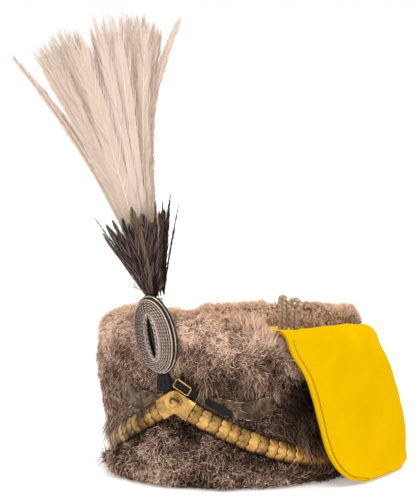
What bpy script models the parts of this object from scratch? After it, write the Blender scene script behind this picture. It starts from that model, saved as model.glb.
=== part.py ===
"""A hussar officer's fur cap with its bag, cockade, feather plume and chin scales.

Metres, +Z up. The cap stands on the floor at z = 0 with its head opening round the Z axis.
The wearer faces -Y and the wearer's left is +X, where the cloth bag hangs.
"""

import random
from math import asin, cos, pi, radians, sin, sqrt

import bmesh
import bpy
from mathutils import Matrix, Vector

# Clearances
GAP = 0.0003
SEAT = 0.0005

# Head opening and the stiff wall that carries the fur
HEAD_HALF_WIDTH = 0.080
HEAD_HALF_LENGTH = 0.098
SHELL_WALL = 0.004
CROWN_HEIGHT = 0.104
CLOTH = 0.002

# Fur
FUR_ABOVE_CROWN = 0.020
FRONT_RISE = 0.011
FUR_DEPTH = 0.0235
LOCK_LENGTH = 0.0045
LOCK_LAY = 0.0025
FUR_COLUMNS = 60
CAP_HEIGHT = CROWN_HEIGHT + FUR_ABOVE_CROWN

# Chin scales: a path round the front, in degrees from the joint
JOINT_ANGLE = -84.0
CHIN_REACH = 80.0
CHIN_SIDE_HEIGHT = 0.017
CHIN_RISE = 0.0515
CHIN_CURVE = 1.65
SCALE_WIDTH = 0.0160
SCALE_ARCH = 0.0030
SCALE_PLATE = 0.0008
SCALE_STEP = 0.0005
SCALE_LOBE = 0.0012
SCALES_PER_SIDE = 16
END_PLATE_LENGTH = 0.016
LEATHER_WIDTH = 0.0125
LEATHER = 0.0015
BOSS_RADIUS = 0.0105
BOSS_HEIGHT = 0.005
HOOK_RADIUS = 0.0022

# Badge
BADGE_PLATE = 0.0008
BADGE_BORDER = 0.0006
BADGE_BORDER_WIDTH = 0.0013
BADGE_HALF_WIDTH = 0.0075
BADGE_HEIGHT = 0.0645
BADGE_RISE = 0.0050
BADGE_CLEAR = 0.0015

# Buckle on the thin strap above the scales
BUCKLE_WIRE = 0.0006
BUCKLE_LENGTH = 0.014
BUCKLE_WIDTH = 0.0070
BUCKLE_CLEAR = 0.0029
BUCKLE_TURN = 3.5
THIN_STRAP_WIDTH = 0.0055
THIN_STRAP_START = 0.4
THIN_STRAP_END = 26.0

# Cockade
COCKADE_HALF_WIDTH = 0.0185
COCKADE_HALF_HEIGHT = 0.0325
COCKADE_ABOVE_JOINT = 0.0525
COCKADE_STAND_OFF = 0.0225
COCKADE_LEAN = radians(17.0)
COCKADE_BACK = 0.0020
COCKADE_EDGE = 0.0022
COCKADE_DOME = 0.0042
COCKADE_ROWS = 5
COCKADE_CORD = 0.0011
SLIT_HALF_WIDTH = 0.0026
SLIT_HALF_HEIGHT = 0.0165
RIM_WIRE = 0.0007
TONGUE_WIDTH = 0.011
TONGUE_THICKNESS = 0.0016
TONGUE_CLEAR = 0.0004
JOINT_HEIGHT = CHIN_SIDE_HEIGHT + CHIN_RISE
COCKADE_HEIGHT_ABOVE_FLOOR = JOINT_HEIGHT + COCKADE_ABOVE_JOINT
COCKADE_DROP = (COCKADE_ABOVE_JOINT - SCALE_WIDTH * 0.5 - TONGUE_CLEAR) / cos(COCKADE_LEAN)
TONGUE_LENGTH = COCKADE_DROP - COCKADE_HALF_HEIGHT - GAP

# Plume
PLUME_LEAN_FORWARD = radians(15.0)
PLUME_LEAN_RIGHT = radians(4.0)
PLUME_FOOT_ABOVE = 0.026
PLUME_FOOT_HEIGHT = COCKADE_HEIGHT_ABOVE_FLOOR + PLUME_FOOT_ABOVE
PLUME_FOOT_OUT = 0.0175
PLUME_FOOT_SIDE = -0.003
STEM_RADIUS = 0.0042
STEM_LENGTH = 0.042
SOCKET_HEADROOM = 0.030
QUILL_CONE = 0.070
CONE_HALF_WIDTH = 0.0225
CONE_HALF_DEPTH = 0.0165
DARK_WALL = 0.0030
DARK_LENGTH = 0.080
DARK_FLARE = 0.0085
WHITE_LENGTH = 0.222
FEATHER_THICKNESS = 0.0024
FEATHER_HALF_WIDTH = 0.0105

# Bag
BAG_THICKNESS = 0.0030
BAG_HALF_WIDTH = 0.078
BAG_FLOOR_GAP = 0.0012
BAG_STAND_OFF = 0.0345
BAG_REAR_SAG = 0.0065

# Cord loops on the crown
LOOP_WIRE = 0.0019
LOOP_HEIGHT = 0.0335
LOOP_HALF_WIDTH = 0.0021
LOOP_X = 0.0205
LOOP_Y = 0.040
RING_RADIUS = 0.0052

SHELL_HALF_WIDTH = HEAD_HALF_WIDTH + SHELL_WALL
SHELL_HALF_LENGTH = HEAD_HALF_LENGTH + SHELL_WALL
DOWN = Vector((0.0, 0.0, -1.0))

# Fur sections: name, share of the height of its own zone, share of the fur depth
LOWER_FUR = (
    ("foot", 0.00, 0.56),
    ("roll", 0.32, 0.76),
    ("belly", 0.66, 0.78),
    ("shoulder", 0.90, 0.64),
)
UPPER_FUR = (
    ("lip", 0.06, 0.66),
    ("swell", 0.22, 0.86),
    ("middle", 0.42, 0.93),
    ("high", 0.62, 0.98),
    ("top", 0.82, 0.99),
)
# Rim: name, share of the cap height and of the fur depth where the rim is free, then under the bag
RIM_FUR = (
    ("outer", 0.925, 0.96, 0.840, 0.86),
    ("brow", 0.980, 0.72, 0.915, 0.70),
    ("crest", 1.000, 0.38, 0.950, 0.50),
    ("inner", 0.975, 0.06, 0.915, 0.26),
    ("throat", 0.900, -0.04, 0.865, 0.08),
)
# Rim line round the cap: angle in degrees and rise above the cap height as a share of FRONT_RISE
RIM_LINE = (
    (-180.0, 0.40),
    (-165.0, 0.45),
    (-150.0, 0.52),
    (-130.0, 0.66),
    (-110.0, 0.85),
    (-90.0, 1.00),
    (-75.0, 1.00),
    (-60.0, 0.80),
    (-48.0, 0.42),
    (-36.0, 0.00),
    (40.0, 0.00),
    (55.0, 0.35),
    (75.0, 0.25),
    (95.0, 0.15),
    (130.0, 0.05),
    (142.0, -0.05),
    (150.0, -0.40),
    (158.0, -0.10),
    (168.0, 0.15),
    (180.0, 0.40),
)
GROOVE_FUR = 0.385
GROOVE_BELOW = 0.0105
GROOVE_ABOVE = 0.0190
BAG_DENT = 0.12
BADGE_POCKET_TOP = BADGE_HEIGHT + BADGE_RISE + BADGE_HALF_WIDTH + SEAT
BADGE_POCKET_BOTTOM = BADGE_HEIGHT - BADGE_HALF_WIDTH - BADGE_CLEAR
BADGE_REACH = 46.0

# The bag from its root on the crown to its rounded end. Place along X as a share of the stand-off
# beyond the shell, height as a share of the cap height, front and rear half widths as shares of
# BAG_HALF_WIDTH, and how far each edge falls back towards the cap as shares of BAG_HALF_WIDTH.
BAG_ROWS = (
    # name, out, height, front, rear, front fall, rear fall
    ("root", -1.05, 0.0, 0.60, 0.62, 0.00, 0.00),
    ("hem", -0.62, 0.0, 0.68, 0.70, 0.02, 0.02),
    ("rise", -0.10, 0.905, 0.80, 0.82, 0.16, 0.15),
    ("brink", 0.12, 0.955, 0.87, 0.88, 0.22, 0.20),
    ("crest", 0.36, 0.978, 0.92, 0.93, 0.25, 0.22),
    ("turn", 0.68, 0.950, 0.98, 0.89, 0.27, 0.22),
    ("brow", 0.86, 0.850, 1.00, 0.84, 0.27, 0.20),
    ("fall", 0.96, 0.720, 0.90, 0.83, 0.23, 0.14),
    ("hang", 1.00, 0.560, 0.82, 0.86, 0.19, 0.09),
    ("middle", 1.02, 0.400, 0.81, 0.92, 0.13, 0.06),
    ("low", 1.06, 0.240, 0.78, 0.95, 0.08, 0.04),
    ("curve", 1.14, 0.110, 0.64, 0.91, 0.05, 0.04),
    ("end", 1.24, 0.045, 0.48, 0.80, 0.03, 0.03),
    ("tip", 1.34, 0.022, 0.30, 0.58, 0.01, 0.02),
)
BAG_COLUMNS = 12
BAG_SAG_START = 0.90
BAG_SAG_END = 0.55

# White feathers: side and forward reach of the tip and its height as shares of WHITE_LENGTH,
# share of the full half width, and how far the middle bows to the side (shares of WHITE_LENGTH)
WHITE_FEATHERS = (
    # side, forward, height, width, bow
    (-0.350, 0.02, 0.900, 0.60, 0.010),
    (-0.335, -0.05, 0.858, 0.90, 0.005),
    (-0.250, 0.05, 0.915, 1.00, 0.000),
    (-0.177, -0.03, 0.952, 1.00, 0.000),
    (-0.090, 0.07, 0.944, 1.05, 0.000),
    (-0.060, -0.06, 0.917, 1.05, 0.000),
    (0.030, -0.07, 0.969, 1.05, 0.000),
    (0.075, 0.06, 0.985, 1.00, -0.010),
    (0.137, 0.03, 0.971, 1.00, -0.020),
    (0.160, -0.02, 0.986, 1.00, -0.030),
    (0.211, -0.06, 0.879, 0.90, -0.040),
    (0.259, 0.07, 0.978, 0.85, -0.055),
    (0.299, 0.01, 0.945, 0.60, -0.065),
)

part_collection = None
cutter_collection = None
cap_origin = None


def clear_scene():
    for item in list(bpy.data.objects):
        bpy.data.objects.remove(item, do_unlink=True)


def make_material(name, colour, roughness, metallic=0.0):
    material = bpy.data.materials.new(name)
    material.use_nodes = True
    shader = material.node_tree.nodes["Principled BSDF"]
    shader.inputs["Base Color"].default_value = (*colour, 1.0)
    shader.inputs["Roughness"].default_value = roughness
    shader.inputs["Metallic"].default_value = metallic
    material.diffuse_color = (*colour, 1.0)
    return material


def make_materials():
    return {
        "fur": make_material("fur", (0.16, 0.11, 0.08), 0.9),
        "yellow_cloth": make_material("yellow_cloth", (0.86, 0.58, 0.0), 0.85),
        "silver_cord": make_material("silver_cord", (0.35, 0.33, 0.31), 0.5, 0.7),
        "black_velvet": make_material("black_velvet", (0.01, 0.01, 0.01), 0.95),
        "dark_leather": make_material("dark_leather", (0.02, 0.02, 0.02), 0.5),
        "white_feather": make_material("white_feather", (0.80, 0.72, 0.60), 0.8),
        "dark_feather": make_material("dark_feather", (0.03, 0.025, 0.02), 0.7),
        "gilt": make_material("gilt", (0.60, 0.38, 0.12), 0.35, 1.0),
        "grey_metal": make_material("grey_metal", (0.30, 0.25, 0.20), 0.45, 0.9),
    }


def link_part(name, mesh, material, parent=None, smooth_angle=None):
    """Make an object of a mesh, give it its material and hang it under its parent."""
    part = bpy.data.objects.new(name, mesh)
    part_collection.objects.link(part)
    part.parent = parent or cap_origin
    mesh.materials.append(material)
    if smooth_angle is not None:
        mesh.shade_smooth()
        mesh.set_sharp_from_angle(angle=radians(smooth_angle))
    return part


def make_empty(name, matrix):
    empty = bpy.data.objects.new(name, None)
    part_collection.objects.link(empty)
    empty.parent = cap_origin
    empty.matrix_world = matrix
    return empty


def finish_mesh(name, bm):
    bmesh.ops.recalc_face_normals(bm, faces=bm.faces[:])
    mesh = bpy.data.meshes.new(name)
    bm.to_mesh(mesh)
    bm.free()
    return mesh


def loft(bm, rings, closed_path=False, cap_ends=True):
    """Join rings of as many points each. Returns the faces between them, one list a step."""
    loops = [[bm.verts.new(point) for point in ring] for ring in rings]
    count = len(loops[0])
    steps = len(loops) if closed_path else len(loops) - 1
    faces = []
    for step in range(steps):
        near = loops[step]
        far = loops[(step + 1) % len(loops)]
        faces.append([
            bm.faces.new((near[i], near[(i + 1) % count], far[(i + 1) % count], far[i]))
            for i in range(count)
        ])
    if cap_ends and not closed_path:
        bm.faces.new(loops[0])
        bm.faces.new(loops[-1])
    return faces


def loft_mesh(name, rings, closed_path=False):
    bm = bmesh.new()
    loft(bm, rings, closed_path)
    return finish_mesh(name, bm)


def blend(low, high, value):
    """A smooth 0 to 1 step between two values."""
    share = min(max((value - low) / (high - low), 0.0), 1.0)
    return share * share * (3.0 - 2.0 * share)


def mix(first, second, share):
    return first + (second - first) * share


def turn_from(angle, centre):
    """Signed turn in degrees from one angle to another, between -180 and 180."""
    return (angle - centre + 180.0) % 360.0 - 180.0


def wall_point(angle, depth, height):
    """A point outside the shell by a depth, at an angle in degrees from +X."""
    turn = radians(angle)
    return Vector((
        (SHELL_HALF_WIDTH + depth) * cos(turn),
        (SHELL_HALF_LENGTH + depth) * sin(turn),
        height,
    ))


def wall_normal(angle, depth):
    turn = radians(angle)
    across = cos(turn) / (SHELL_HALF_WIDTH + depth)
    along = sin(turn) / (SHELL_HALF_LENGTH + depth)
    return Vector((across, along, 0.0)).normalized()


# Chin scale path

GROOVE_FLOOR = GROOVE_FUR * FUR_DEPTH
BADGE_DEPTH = GROOVE_FLOOR + SEAT
LEATHER_DEPTH = BADGE_DEPTH + BADGE_PLATE + BADGE_BORDER + GAP
SCALE_DEPTH = LEATHER_DEPTH + LEATHER + GAP


def chin_height(turn):
    """Height of the middle of the chin scales, by degrees from the joint."""
    share = min(abs(turn) / CHIN_REACH, 1.0)
    return CHIN_SIDE_HEIGHT + CHIN_RISE * (1.0 - share) ** CHIN_CURVE


def chin_path(side, depth):
    """Points of one half and the length to each, from the joint outwards."""
    points = []
    lengths = []
    steps = 160
    for step in range(steps + 1):
        turn = CHIN_REACH * step / steps
        point = wall_point(JOINT_ANGLE + side * turn, depth, chin_height(turn))
        lengths.append(lengths[-1] + (point - points[-1]).length if points else 0.0)
        points.append(point)
    return points, lengths


def chin_frame(side, path, length):
    """Place, tangent, outward normal and width direction at a length along one half."""
    points, lengths = path
    step = 0
    while step < len(lengths) - 2 and lengths[step + 1] < length:
        step += 1
    span = lengths[step + 1] - lengths[step]
    place = points[step].lerp(points[step + 1], (length - lengths[step]) / span)
    tangent = (points[step + 1] - points[step]).normalized()
    angle = JOINT_ANGLE + side * CHIN_REACH * (step + 0.5) / (len(points) - 1)
    normal = wall_normal(angle, 0.0)
    across = tangent.cross(normal).normalized() * side
    return place, tangent, normal, across


# Fur body


def bag_press(angle):
    """How far the rim is pressed by the bag: 1 under it and 0 clear of it."""
    return blend(-54.0, -40.0, turn_from(angle, 0.0)) * (1.0 - blend(44.0, 56.0, turn_from(angle, 0.0)))


def rim_rise(angle):
    """How far the rim stands above the cap height at an angle."""
    turn = turn_from(angle, 0.0)
    for (first, low), (last, high) in zip(RIM_LINE, RIM_LINE[1:]):
        if turn <= last:
            return FRONT_RISE * mix(low, high, blend(first, last, turn))
    return FRONT_RISE * RIM_LINE[-1][1]


def bag_sag(y):
    """How far the bag and the fur under it sink towards the rear."""
    return BAG_REAR_SAG * blend(0.0, BAG_HALF_WIDTH * 0.85, y)


def groove_edges(angle):
    turn = turn_from(angle, JOINT_ANGLE)
    middle = chin_height(turn)
    low = min(middle - GROOVE_BELOW, BADGE_POCKET_BOTTOM)
    high = middle + mix(GROOVE_ABOVE, GROOVE_BELOW, blend(30.0, 60.0, abs(turn)))
    pocket = 1.0 - blend(BADGE_REACH, BADGE_REACH + 12.0, abs(turn))
    return low, max(high, mix(high, BADGE_POCKET_TOP, pocket))


def groove_share(angle):
    """Fur depth share on the floor of the groove, which runs out behind the side bosses."""
    turn = abs(turn_from(angle, JOINT_ANGLE))
    return mix(GROOVE_FUR, 0.82, blend(CHIN_REACH + 12.0, CHIN_REACH + 45.0, turn))


def cockade_plane_depth(height):
    """Depth beyond the shell of the back of the cockade at a height."""
    rise = height - COCKADE_HEIGHT_ABOVE_FLOOR
    return COCKADE_STAND_OFF + rise * sin(COCKADE_LEAN) / cos(COCKADE_LEAN)


def press_under_cockade(point):
    """Flatten the front of the fur to the plane behind the cockade."""
    limit = SHELL_HALF_LENGTH + cockade_plane_depth(point.z) - SEAT
    reach = 1.0 - blend(COCKADE_HALF_WIDTH * 1.35, COCKADE_HALF_WIDTH * 2.1, abs(point.x))
    if -point.y > limit and point.y < 0.0:
        point.y = -mix(-point.y, limit, reach)
    return point


def fur_section(angle):
    """Closed section of the fur wall at an angle, from the inner foot, outside and up."""
    low, high = groove_edges(angle)
    floor = groove_share(angle)
    press = bag_press(angle)
    rise = rim_rise(angle)
    rim_foot = mix(RIM_FUR[0][1], RIM_FUR[0][3], press) * CAP_HEIGHT + rise
    points = [wall_point(angle, -SHELL_WALL, 0.0)]
    for _, height, depth in LOWER_FUR:
        points.append(wall_point(angle, depth * FUR_DEPTH, height * low))
    points.append(wall_point(angle, floor * FUR_DEPTH, low))
    points.append(wall_point(angle, floor * FUR_DEPTH, high))
    for _, height, depth in UPPER_FUR:
        depth -= BAG_DENT * press
        point = wall_point(angle, depth * FUR_DEPTH, mix(high, rim_foot, height))
        points.append(press_under_cockade(point))
    for _, height, depth, low_height, low_depth in RIM_FUR:
        share = mix(height, low_height, press)
        point = wall_point(angle, mix(depth, low_depth, press) * FUR_DEPTH, share * CAP_HEIGHT)
        point.z = max(point.z + rise - bag_sag(point.y) * press, CROWN_HEIGHT + SEAT)
        points.append(press_under_cockade(point))
    points.append(wall_point(angle, 0.0, CROWN_HEIGHT))
    points.append(wall_point(angle, -SHELL_WALL, CROWN_HEIGHT))
    points.append(wall_point(angle, -SHELL_WALL, CROWN_HEIGHT * 0.5))
    return points


def cell_has_lock(column, row):
    """Locks cover the free fur and leave the places where something lies on it bare."""
    first_lock = 1
    groove_row = len(LOWER_FUR) + 1
    last_lock = groove_row + len(UPPER_FUR) + len(RIM_FUR) - 1
    if row < first_lock or row > last_lock:
        return False
    angle = 360.0 * (column + 0.5) / FUR_COLUMNS
    turn = abs(turn_from(angle, JOINT_ANGLE))
    if groove_row - 1 <= row <= groove_row + 1 and turn < CHIN_REACH + 26.0:
        return False
    near_cockade = abs(turn_from(angle, -90.0)) < 19.0
    if near_cockade and row > groove_row:
        return False
    under_bag = -62.0 < turn_from(angle, 0.0) < 68.0
    return not (under_bag and row >= groove_row + len(UPPER_FUR) - 1)


def make_fur_body(material):
    rng = random.Random(11)
    rings = [fur_section(360.0 * column / FUR_COLUMNS) for column in range(FUR_COLUMNS)]
    bm = bmesh.new()
    faces = loft(bm, rings, closed_path=True)
    bmesh.ops.recalc_face_normals(bm, faces=bm.faces[:])
    cells = [
        face
        for column, strip in enumerate(faces)
        for row, face in enumerate(strip)
        if cell_has_lock(column, row)
    ]
    tips = bmesh.ops.poke(bm, faces=cells)["verts"]
    bm.normal_update()
    for tip in tips:
        reach = LOCK_LENGTH * rng.uniform(0.55, 1.0)
        lay = Vector((rng.uniform(-1, 1), rng.uniform(-1, 1), rng.uniform(-1.0, 0.4)))
        side = lay - tip.normal * lay.dot(tip.normal)
        tip.co = tip.co + tip.normal * reach + side * LOCK_LAY
        tip.co.z = max(tip.co.z, LOCK_LAY)
    mesh = finish_mesh("fur_body", bm)
    fur = link_part("fur_body", mesh, material)
    cut = fur.modifiers.new("plume_socket", "BOOLEAN")
    cut.operation = "DIFFERENCE"
    cut.object = make_socket_cutter()
    return fur


# Plume


def plume_matrix():
    """Frame of the plume: its foot, with local Z along the stem."""
    foot = wall_point(-90.0, PLUME_FOOT_OUT, PLUME_FOOT_HEIGHT) + Vector((PLUME_FOOT_SIDE, 0.0, 0.0))
    lean = Matrix.Rotation(PLUME_LEAN_FORWARD, 4, "X") @ Matrix.Rotation(-PLUME_LEAN_RIGHT, 4, "Y")
    return Matrix.Translation(foot) @ lean


def make_socket_cutter():
    """A round hole in the fur behind the cockade for the plume's stem."""
    depth = STEM_LENGTH + SEAT + SOCKET_HEADROOM
    radius = STEM_RADIUS + SEAT
    bm = bmesh.new()
    bmesh.ops.create_cone(bm, cap_ends=True, segments=12, radius1=radius, radius2=radius, depth=depth)
    cutter = bpy.data.objects.new("plume_socket_cutter", finish_mesh("plume_socket_cutter", bm))
    cutter_collection.objects.link(cutter)
    middle = Matrix.Translation((0.0, 0.0, SOCKET_HEADROOM - depth * 0.5))
    cutter.matrix_world = plume_matrix() @ middle
    cutter.hide_render = True
    cutter.display_type = "WIRE"
    return cutter


def make_plume_stem(seat, material):
    """Bound quill ends: sunk in the socket, with a cup for the feathers on top."""
    bm = bmesh.new()
    bmesh.ops.create_cone(
        bm, cap_ends=True, segments=12,
        radius1=STEM_RADIUS * 0.9, radius2=STEM_RADIUS, depth=STEM_LENGTH,
    )
    bmesh.ops.translate(bm, verts=bm.verts[:], vec=(0.0, 0.0, -STEM_LENGTH * 0.5))
    return link_part("plume_stem", finish_mesh("plume_stem", bm), material, seat, 40)


def cone_size(height):
    """Half width and half depth of the gathered quills at a height above the foot."""
    share = height / QUILL_CONE
    swell = share ** 1.15
    return (
        mix(STEM_RADIUS, CONE_HALF_WIDTH, swell),
        mix(STEM_RADIUS, CONE_HALF_DEPTH, swell),
    )


def oval(half_width, half_depth, height, count, shift=0.0):
    return [
        Vector((
            shift + half_width * cos(2.0 * pi * i / count),
            half_depth * sin(2.0 * pi * i / count),
            height,
        ))
        for i in range(count)
    ]


def feather_rings(tip_side, tip_forward, tip_height, width, bow):
    """Sections of one long feather from inside the quill cone to its pointed tip."""
    widest = max(abs(feather[0]) for feather in WHITE_FEATHERS)
    deepest = max(abs(feather[1]) for feather in WHITE_FEATHERS)
    start = Vector((
        CONE_HALF_WIDTH * 0.72 * tip_side / widest,
        -CONE_HALF_DEPTH * 0.5 * tip_forward / deepest,
        QUILL_CONE * 0.90,
    ))
    tip = Vector((tip_side, -tip_forward, tip_height)) * WHITE_LENGTH
    rings = []
    shares = ((0.0, 0.45), (0.25, 0.72), (0.5, 0.90), (0.75, 1.0), (0.92, 0.72), (1.0, 0.12))
    for along, swell in shares:
        middle = start.lerp(tip, along)
        middle.x += bow * WHITE_LENGTH * 4.0 * along * (1.0 - along)
        half = FEATHER_HALF_WIDTH * width * swell
        thick = FEATHER_THICKNESS * 0.5 * mix(1.0, 0.5, along)
        rings.append([
            middle + Vector((-half, 0.0, 0.0)),
            middle + Vector((0.0, -thick, 0.0)),
            middle + Vector((half, 0.0, 0.0)),
            middle + Vector((0.0, thick, 0.0)),
        ])
    return rings


def make_plume_white(seat, material):
    """The gathered quills as a cone, with every long feather fused to it."""
    strips = bpy.data.collections.new("white_feather_strips")
    cutter_collection.children.link(strips)
    frame = plume_matrix()
    for number, feather in enumerate(WHITE_FEATHERS):
        mesh = loft_mesh("feather_strip_%02d" % number, feather_rings(*feather))
        strip = bpy.data.objects.new(mesh.name, mesh)
        strips.objects.link(strip)
        strip.matrix_world = frame
        strip.hide_render = True
        strip.display_type = "WIRE"
    rings = []
    for share in (0.0, 0.3, 0.6, 1.0):
        height = mix(GAP, QUILL_CONE, share)
        rings.append(oval(*cone_size(height), height, 20))
    plume = link_part("plume_white", loft_mesh("plume_white", rings), material, seat)
    fuse = plume.modifiers.new("feathers", "BOOLEAN")
    fuse.operation = "UNION"
    fuse.operand_type = "COLLECTION"
    fuse.collection = strips
    return plume


def make_plume_dark(seat, material):
    """Short dark feathers: a jagged cup round the gathered quills."""
    rng = random.Random(5)
    count = 26
    spikes = [mix(0.72, 1.0, rng.random()) if i % 2 else 0.60 for i in range(count)]
    flares = [rng.uniform(0.55, 1.0) if i % 2 else 0.0 for i in range(count)]

    def ring(share, extra):
        points = []
        for i in range(count):
            height = mix(GAP * 2.0, DARK_LENGTH, share * (spikes[i] if share == 1.0 else 0.62))
            half_width, half_depth = cone_size(height)
            flare = extra
            if share == 1.0:
                flare += DARK_FLARE * flares[i] * (1.0 if extra > SEAT else 0.8)
            turn = 2.0 * pi * i / count
            points.append(Vector((
                (half_width + flare) * cos(turn),
                (half_depth + flare) * sin(turn),
                height,
            )))
        return points

    outer = [ring(share, DARK_WALL) for share in (0.0, 0.35, 0.7, 1.0)]
    inner = [ring(share, SEAT) for share in (1.0, 0.7, 0.35, 0.0)]
    bm = bmesh.new()
    loft(bm, outer + inner, closed_path=True)
    return link_part("plume_dark", finish_mesh("plume_dark", bm), material, seat)


# Cockade


def cockade_matrix():
    """Frame on the back of the cockade: local X across, Y up along it, Z outwards."""
    middle = wall_point(-90.0, COCKADE_STAND_OFF, COCKADE_HEIGHT_ABOVE_FLOOR)
    up = Vector((0.0, -sin(COCKADE_LEAN), cos(COCKADE_LEAN)))
    across = Vector((1.0, 0.0, 0.0))
    outward = across.cross(up)
    frame = Matrix((across, up, outward)).transposed().to_4x4()
    return Matrix.Translation(middle) @ frame


def cockade_ring(share, height, count, grow=0.0):
    """An oval between the slit, at share 0, and the rim, at share 1."""
    half_width = mix(SLIT_HALF_WIDTH, COCKADE_HALF_WIDTH, share) + grow
    half_height = mix(SLIT_HALF_HEIGHT, COCKADE_HALF_HEIGHT, share) + grow
    return [
        Vector((
            half_width * cos(2.0 * pi * i / count),
            half_height * sin(2.0 * pi * i / count),
            height,
        ))
        for i in range(count)
    ]


def cockade_dome(share):
    return COCKADE_EDGE + COCKADE_DOME * sqrt(max(1.0 - share ** 2.4, 0.0))


def make_cockade(materials):
    seat = make_empty("cockade_seat", cockade_matrix())
    count = 32

    back = [
        cockade_ring(1.0, 0.0, count, -RIM_WIRE),
        cockade_ring(1.0, COCKADE_BACK * 0.5, count),
        cockade_ring(1.0, COCKADE_BACK, count, -RIM_WIRE),
    ]
    link_part("cockade_back", loft_mesh("cockade_back", back), materials["dark_leather"], seat, 40)

    base = COCKADE_BACK + GAP
    rings = [cockade_ring(0.0, base, count, GAP), cockade_ring(1.0, base, count, -RIM_WIRE * 3.0)]
    for row in range(COCKADE_ROWS, 0, -1):
        outer = row / COCKADE_ROWS
        middle = (row - 0.5) / COCKADE_ROWS
        shrink = -RIM_WIRE * 3.0 * outer
        low = base + cockade_dome(outer) - COCKADE_EDGE * 0.25
        rings.append(cockade_ring(outer, low, count, shrink))
        rings.append(cockade_ring(middle, base + cockade_dome(middle) + COCKADE_CORD, count, shrink))
    rings.append(cockade_ring(0.0, base + COCKADE_DOME, count, GAP))
    bm = bmesh.new()
    loft(bm, rings, closed_path=True)
    cord = finish_mesh("cockade_cord", bm)
    link_part("cockade_cord", cord, materials["silver_cord"], seat, 60)

    slit = [
        cockade_ring(0.0, base, 16, -GAP),
        cockade_ring(0.0, base + COCKADE_DOME * 0.7, 16, -GAP),
        cockade_ring(0.0, base + COCKADE_DOME * 0.9, 16, -GAP - SLIT_HALF_WIDTH * 0.5),
    ]
    link_part("cockade_slit", loft_mesh("cockade_slit", slit), materials["black_velvet"], seat, 60)

    bm = bmesh.new()
    wire_rings = []
    for i in range(28):
        turn = 2.0 * pi * i / 28
        outward = Vector((cos(turn), sin(turn), 0.0))
        middle = Vector((
            (COCKADE_HALF_WIDTH - RIM_WIRE) * cos(turn),
            (COCKADE_HALF_HEIGHT - RIM_WIRE) * sin(turn),
            base + RIM_WIRE,
        ))
        wire_rings.append([
            middle + (outward * cos(around) + Vector((0.0, 0.0, 1.0)) * sin(around)) * RIM_WIRE * 0.9
            for around in (2.0 * pi * j / 6 for j in range(6))
        ])
    loft(bm, wire_rings, closed_path=True)
    link_part("cockade_wire", finish_mesh("cockade_wire", bm), materials["gilt"], seat, 60)

    half = TONGUE_WIDTH * 0.5
    top = -COCKADE_HALF_HEIGHT + COCKADE_BACK
    tongue = []
    for share, width, layers in ((0.0, 0.75, 0.0), (0.5, 1.0, 0.375), (1.0, 0.85, 1.125)):
        y = top - GAP - TONGUE_LENGTH * share - COCKADE_BACK
        height = layers * TONGUE_THICKNESS
        tongue.append([
            Vector((-half * width, y, height)),
            Vector((half * width, y, height)),
            Vector((half * width, y, height + TONGUE_THICKNESS)),
            Vector((-half * width, y, height + TONGUE_THICKNESS)),
        ])
    link_part("cockade_tongue", loft_mesh("cockade_tongue", tongue), materials["dark_leather"], seat)


# Chin scales

LOBES = (0.0, 1.0, 0.0, 1.0, 0.0, 1.0, 0.0)


def plate_rings(side, path, start, end, width=SCALE_WIDTH, arch=SCALE_ARCH, lift=0.0, lobe=SCALE_LOBE):
    """Two rows of points across a plate and the same rows under it, as loft rings."""
    count = len(LOBES)
    rings = []
    for i in range(count):
        across_share = 2.0 * i / (count - 1) - 1.0
        shift = lobe * LOBES[i]
        ring = []
        for length, step in ((start - shift, SCALE_STEP), (end - shift, 0.0)):
            place, _, normal, across = chin_frame(side, path, max(length, 0.0))
            rise = lift + step + arch * (1.0 - across_share ** 2)
            top = place + across * (across_share * width * 0.5) + normal * (rise + SCALE_PLATE)
            ring.append((top, top - normal * SCALE_PLATE))
        (top_near, low_near), (top_far, low_far) = ring
        rings.append([top_near, top_far, low_far, low_near])
    return rings


def make_chin_scales(materials):
    for side, letter in ((1, "l"), (-1, "r")):
        path = chin_path(side, SCALE_DEPTH)
        first = END_PLATE_LENGTH + SCALE_LOBE
        pitch = (path[1][-1] - first - BOSS_RADIUS - GAP) / SCALES_PER_SIDE
        for number in range(SCALES_PER_SIDE):
            start = first + pitch * number
            name = "scale_%s_%02d" % (letter, number + 1)
            mesh = loft_mesh(name, plate_rings(side, path, start, start + pitch - GAP))
            link_part(name, mesh, materials["gilt"], None, 50)
        make_leather(side, letter, materials["dark_leather"])
        make_boss(side, letter, path, materials["gilt"])


def make_leather(side, letter, material):
    """Leather behind one half of the scales, from the joint to the side boss."""
    path = chin_path(side, LEATHER_DEPTH)
    length = path[1][-1] - BOSS_RADIUS * 0.4
    start = LEATHER_WIDTH * 0.32
    steps = 22
    rings = []
    for step in range(steps + 1):
        place, _, normal, across = chin_frame(side, path, mix(start, length, step / steps))
        half = across * LEATHER_WIDTH * 0.5
        rings.append([
            place - half,
            place + half,
            place + half + normal * LEATHER,
            place - half + normal * LEATHER,
        ])
    name = "chin_leather_%s" % letter
    link_part(name, loft_mesh(name, rings), material)


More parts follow.
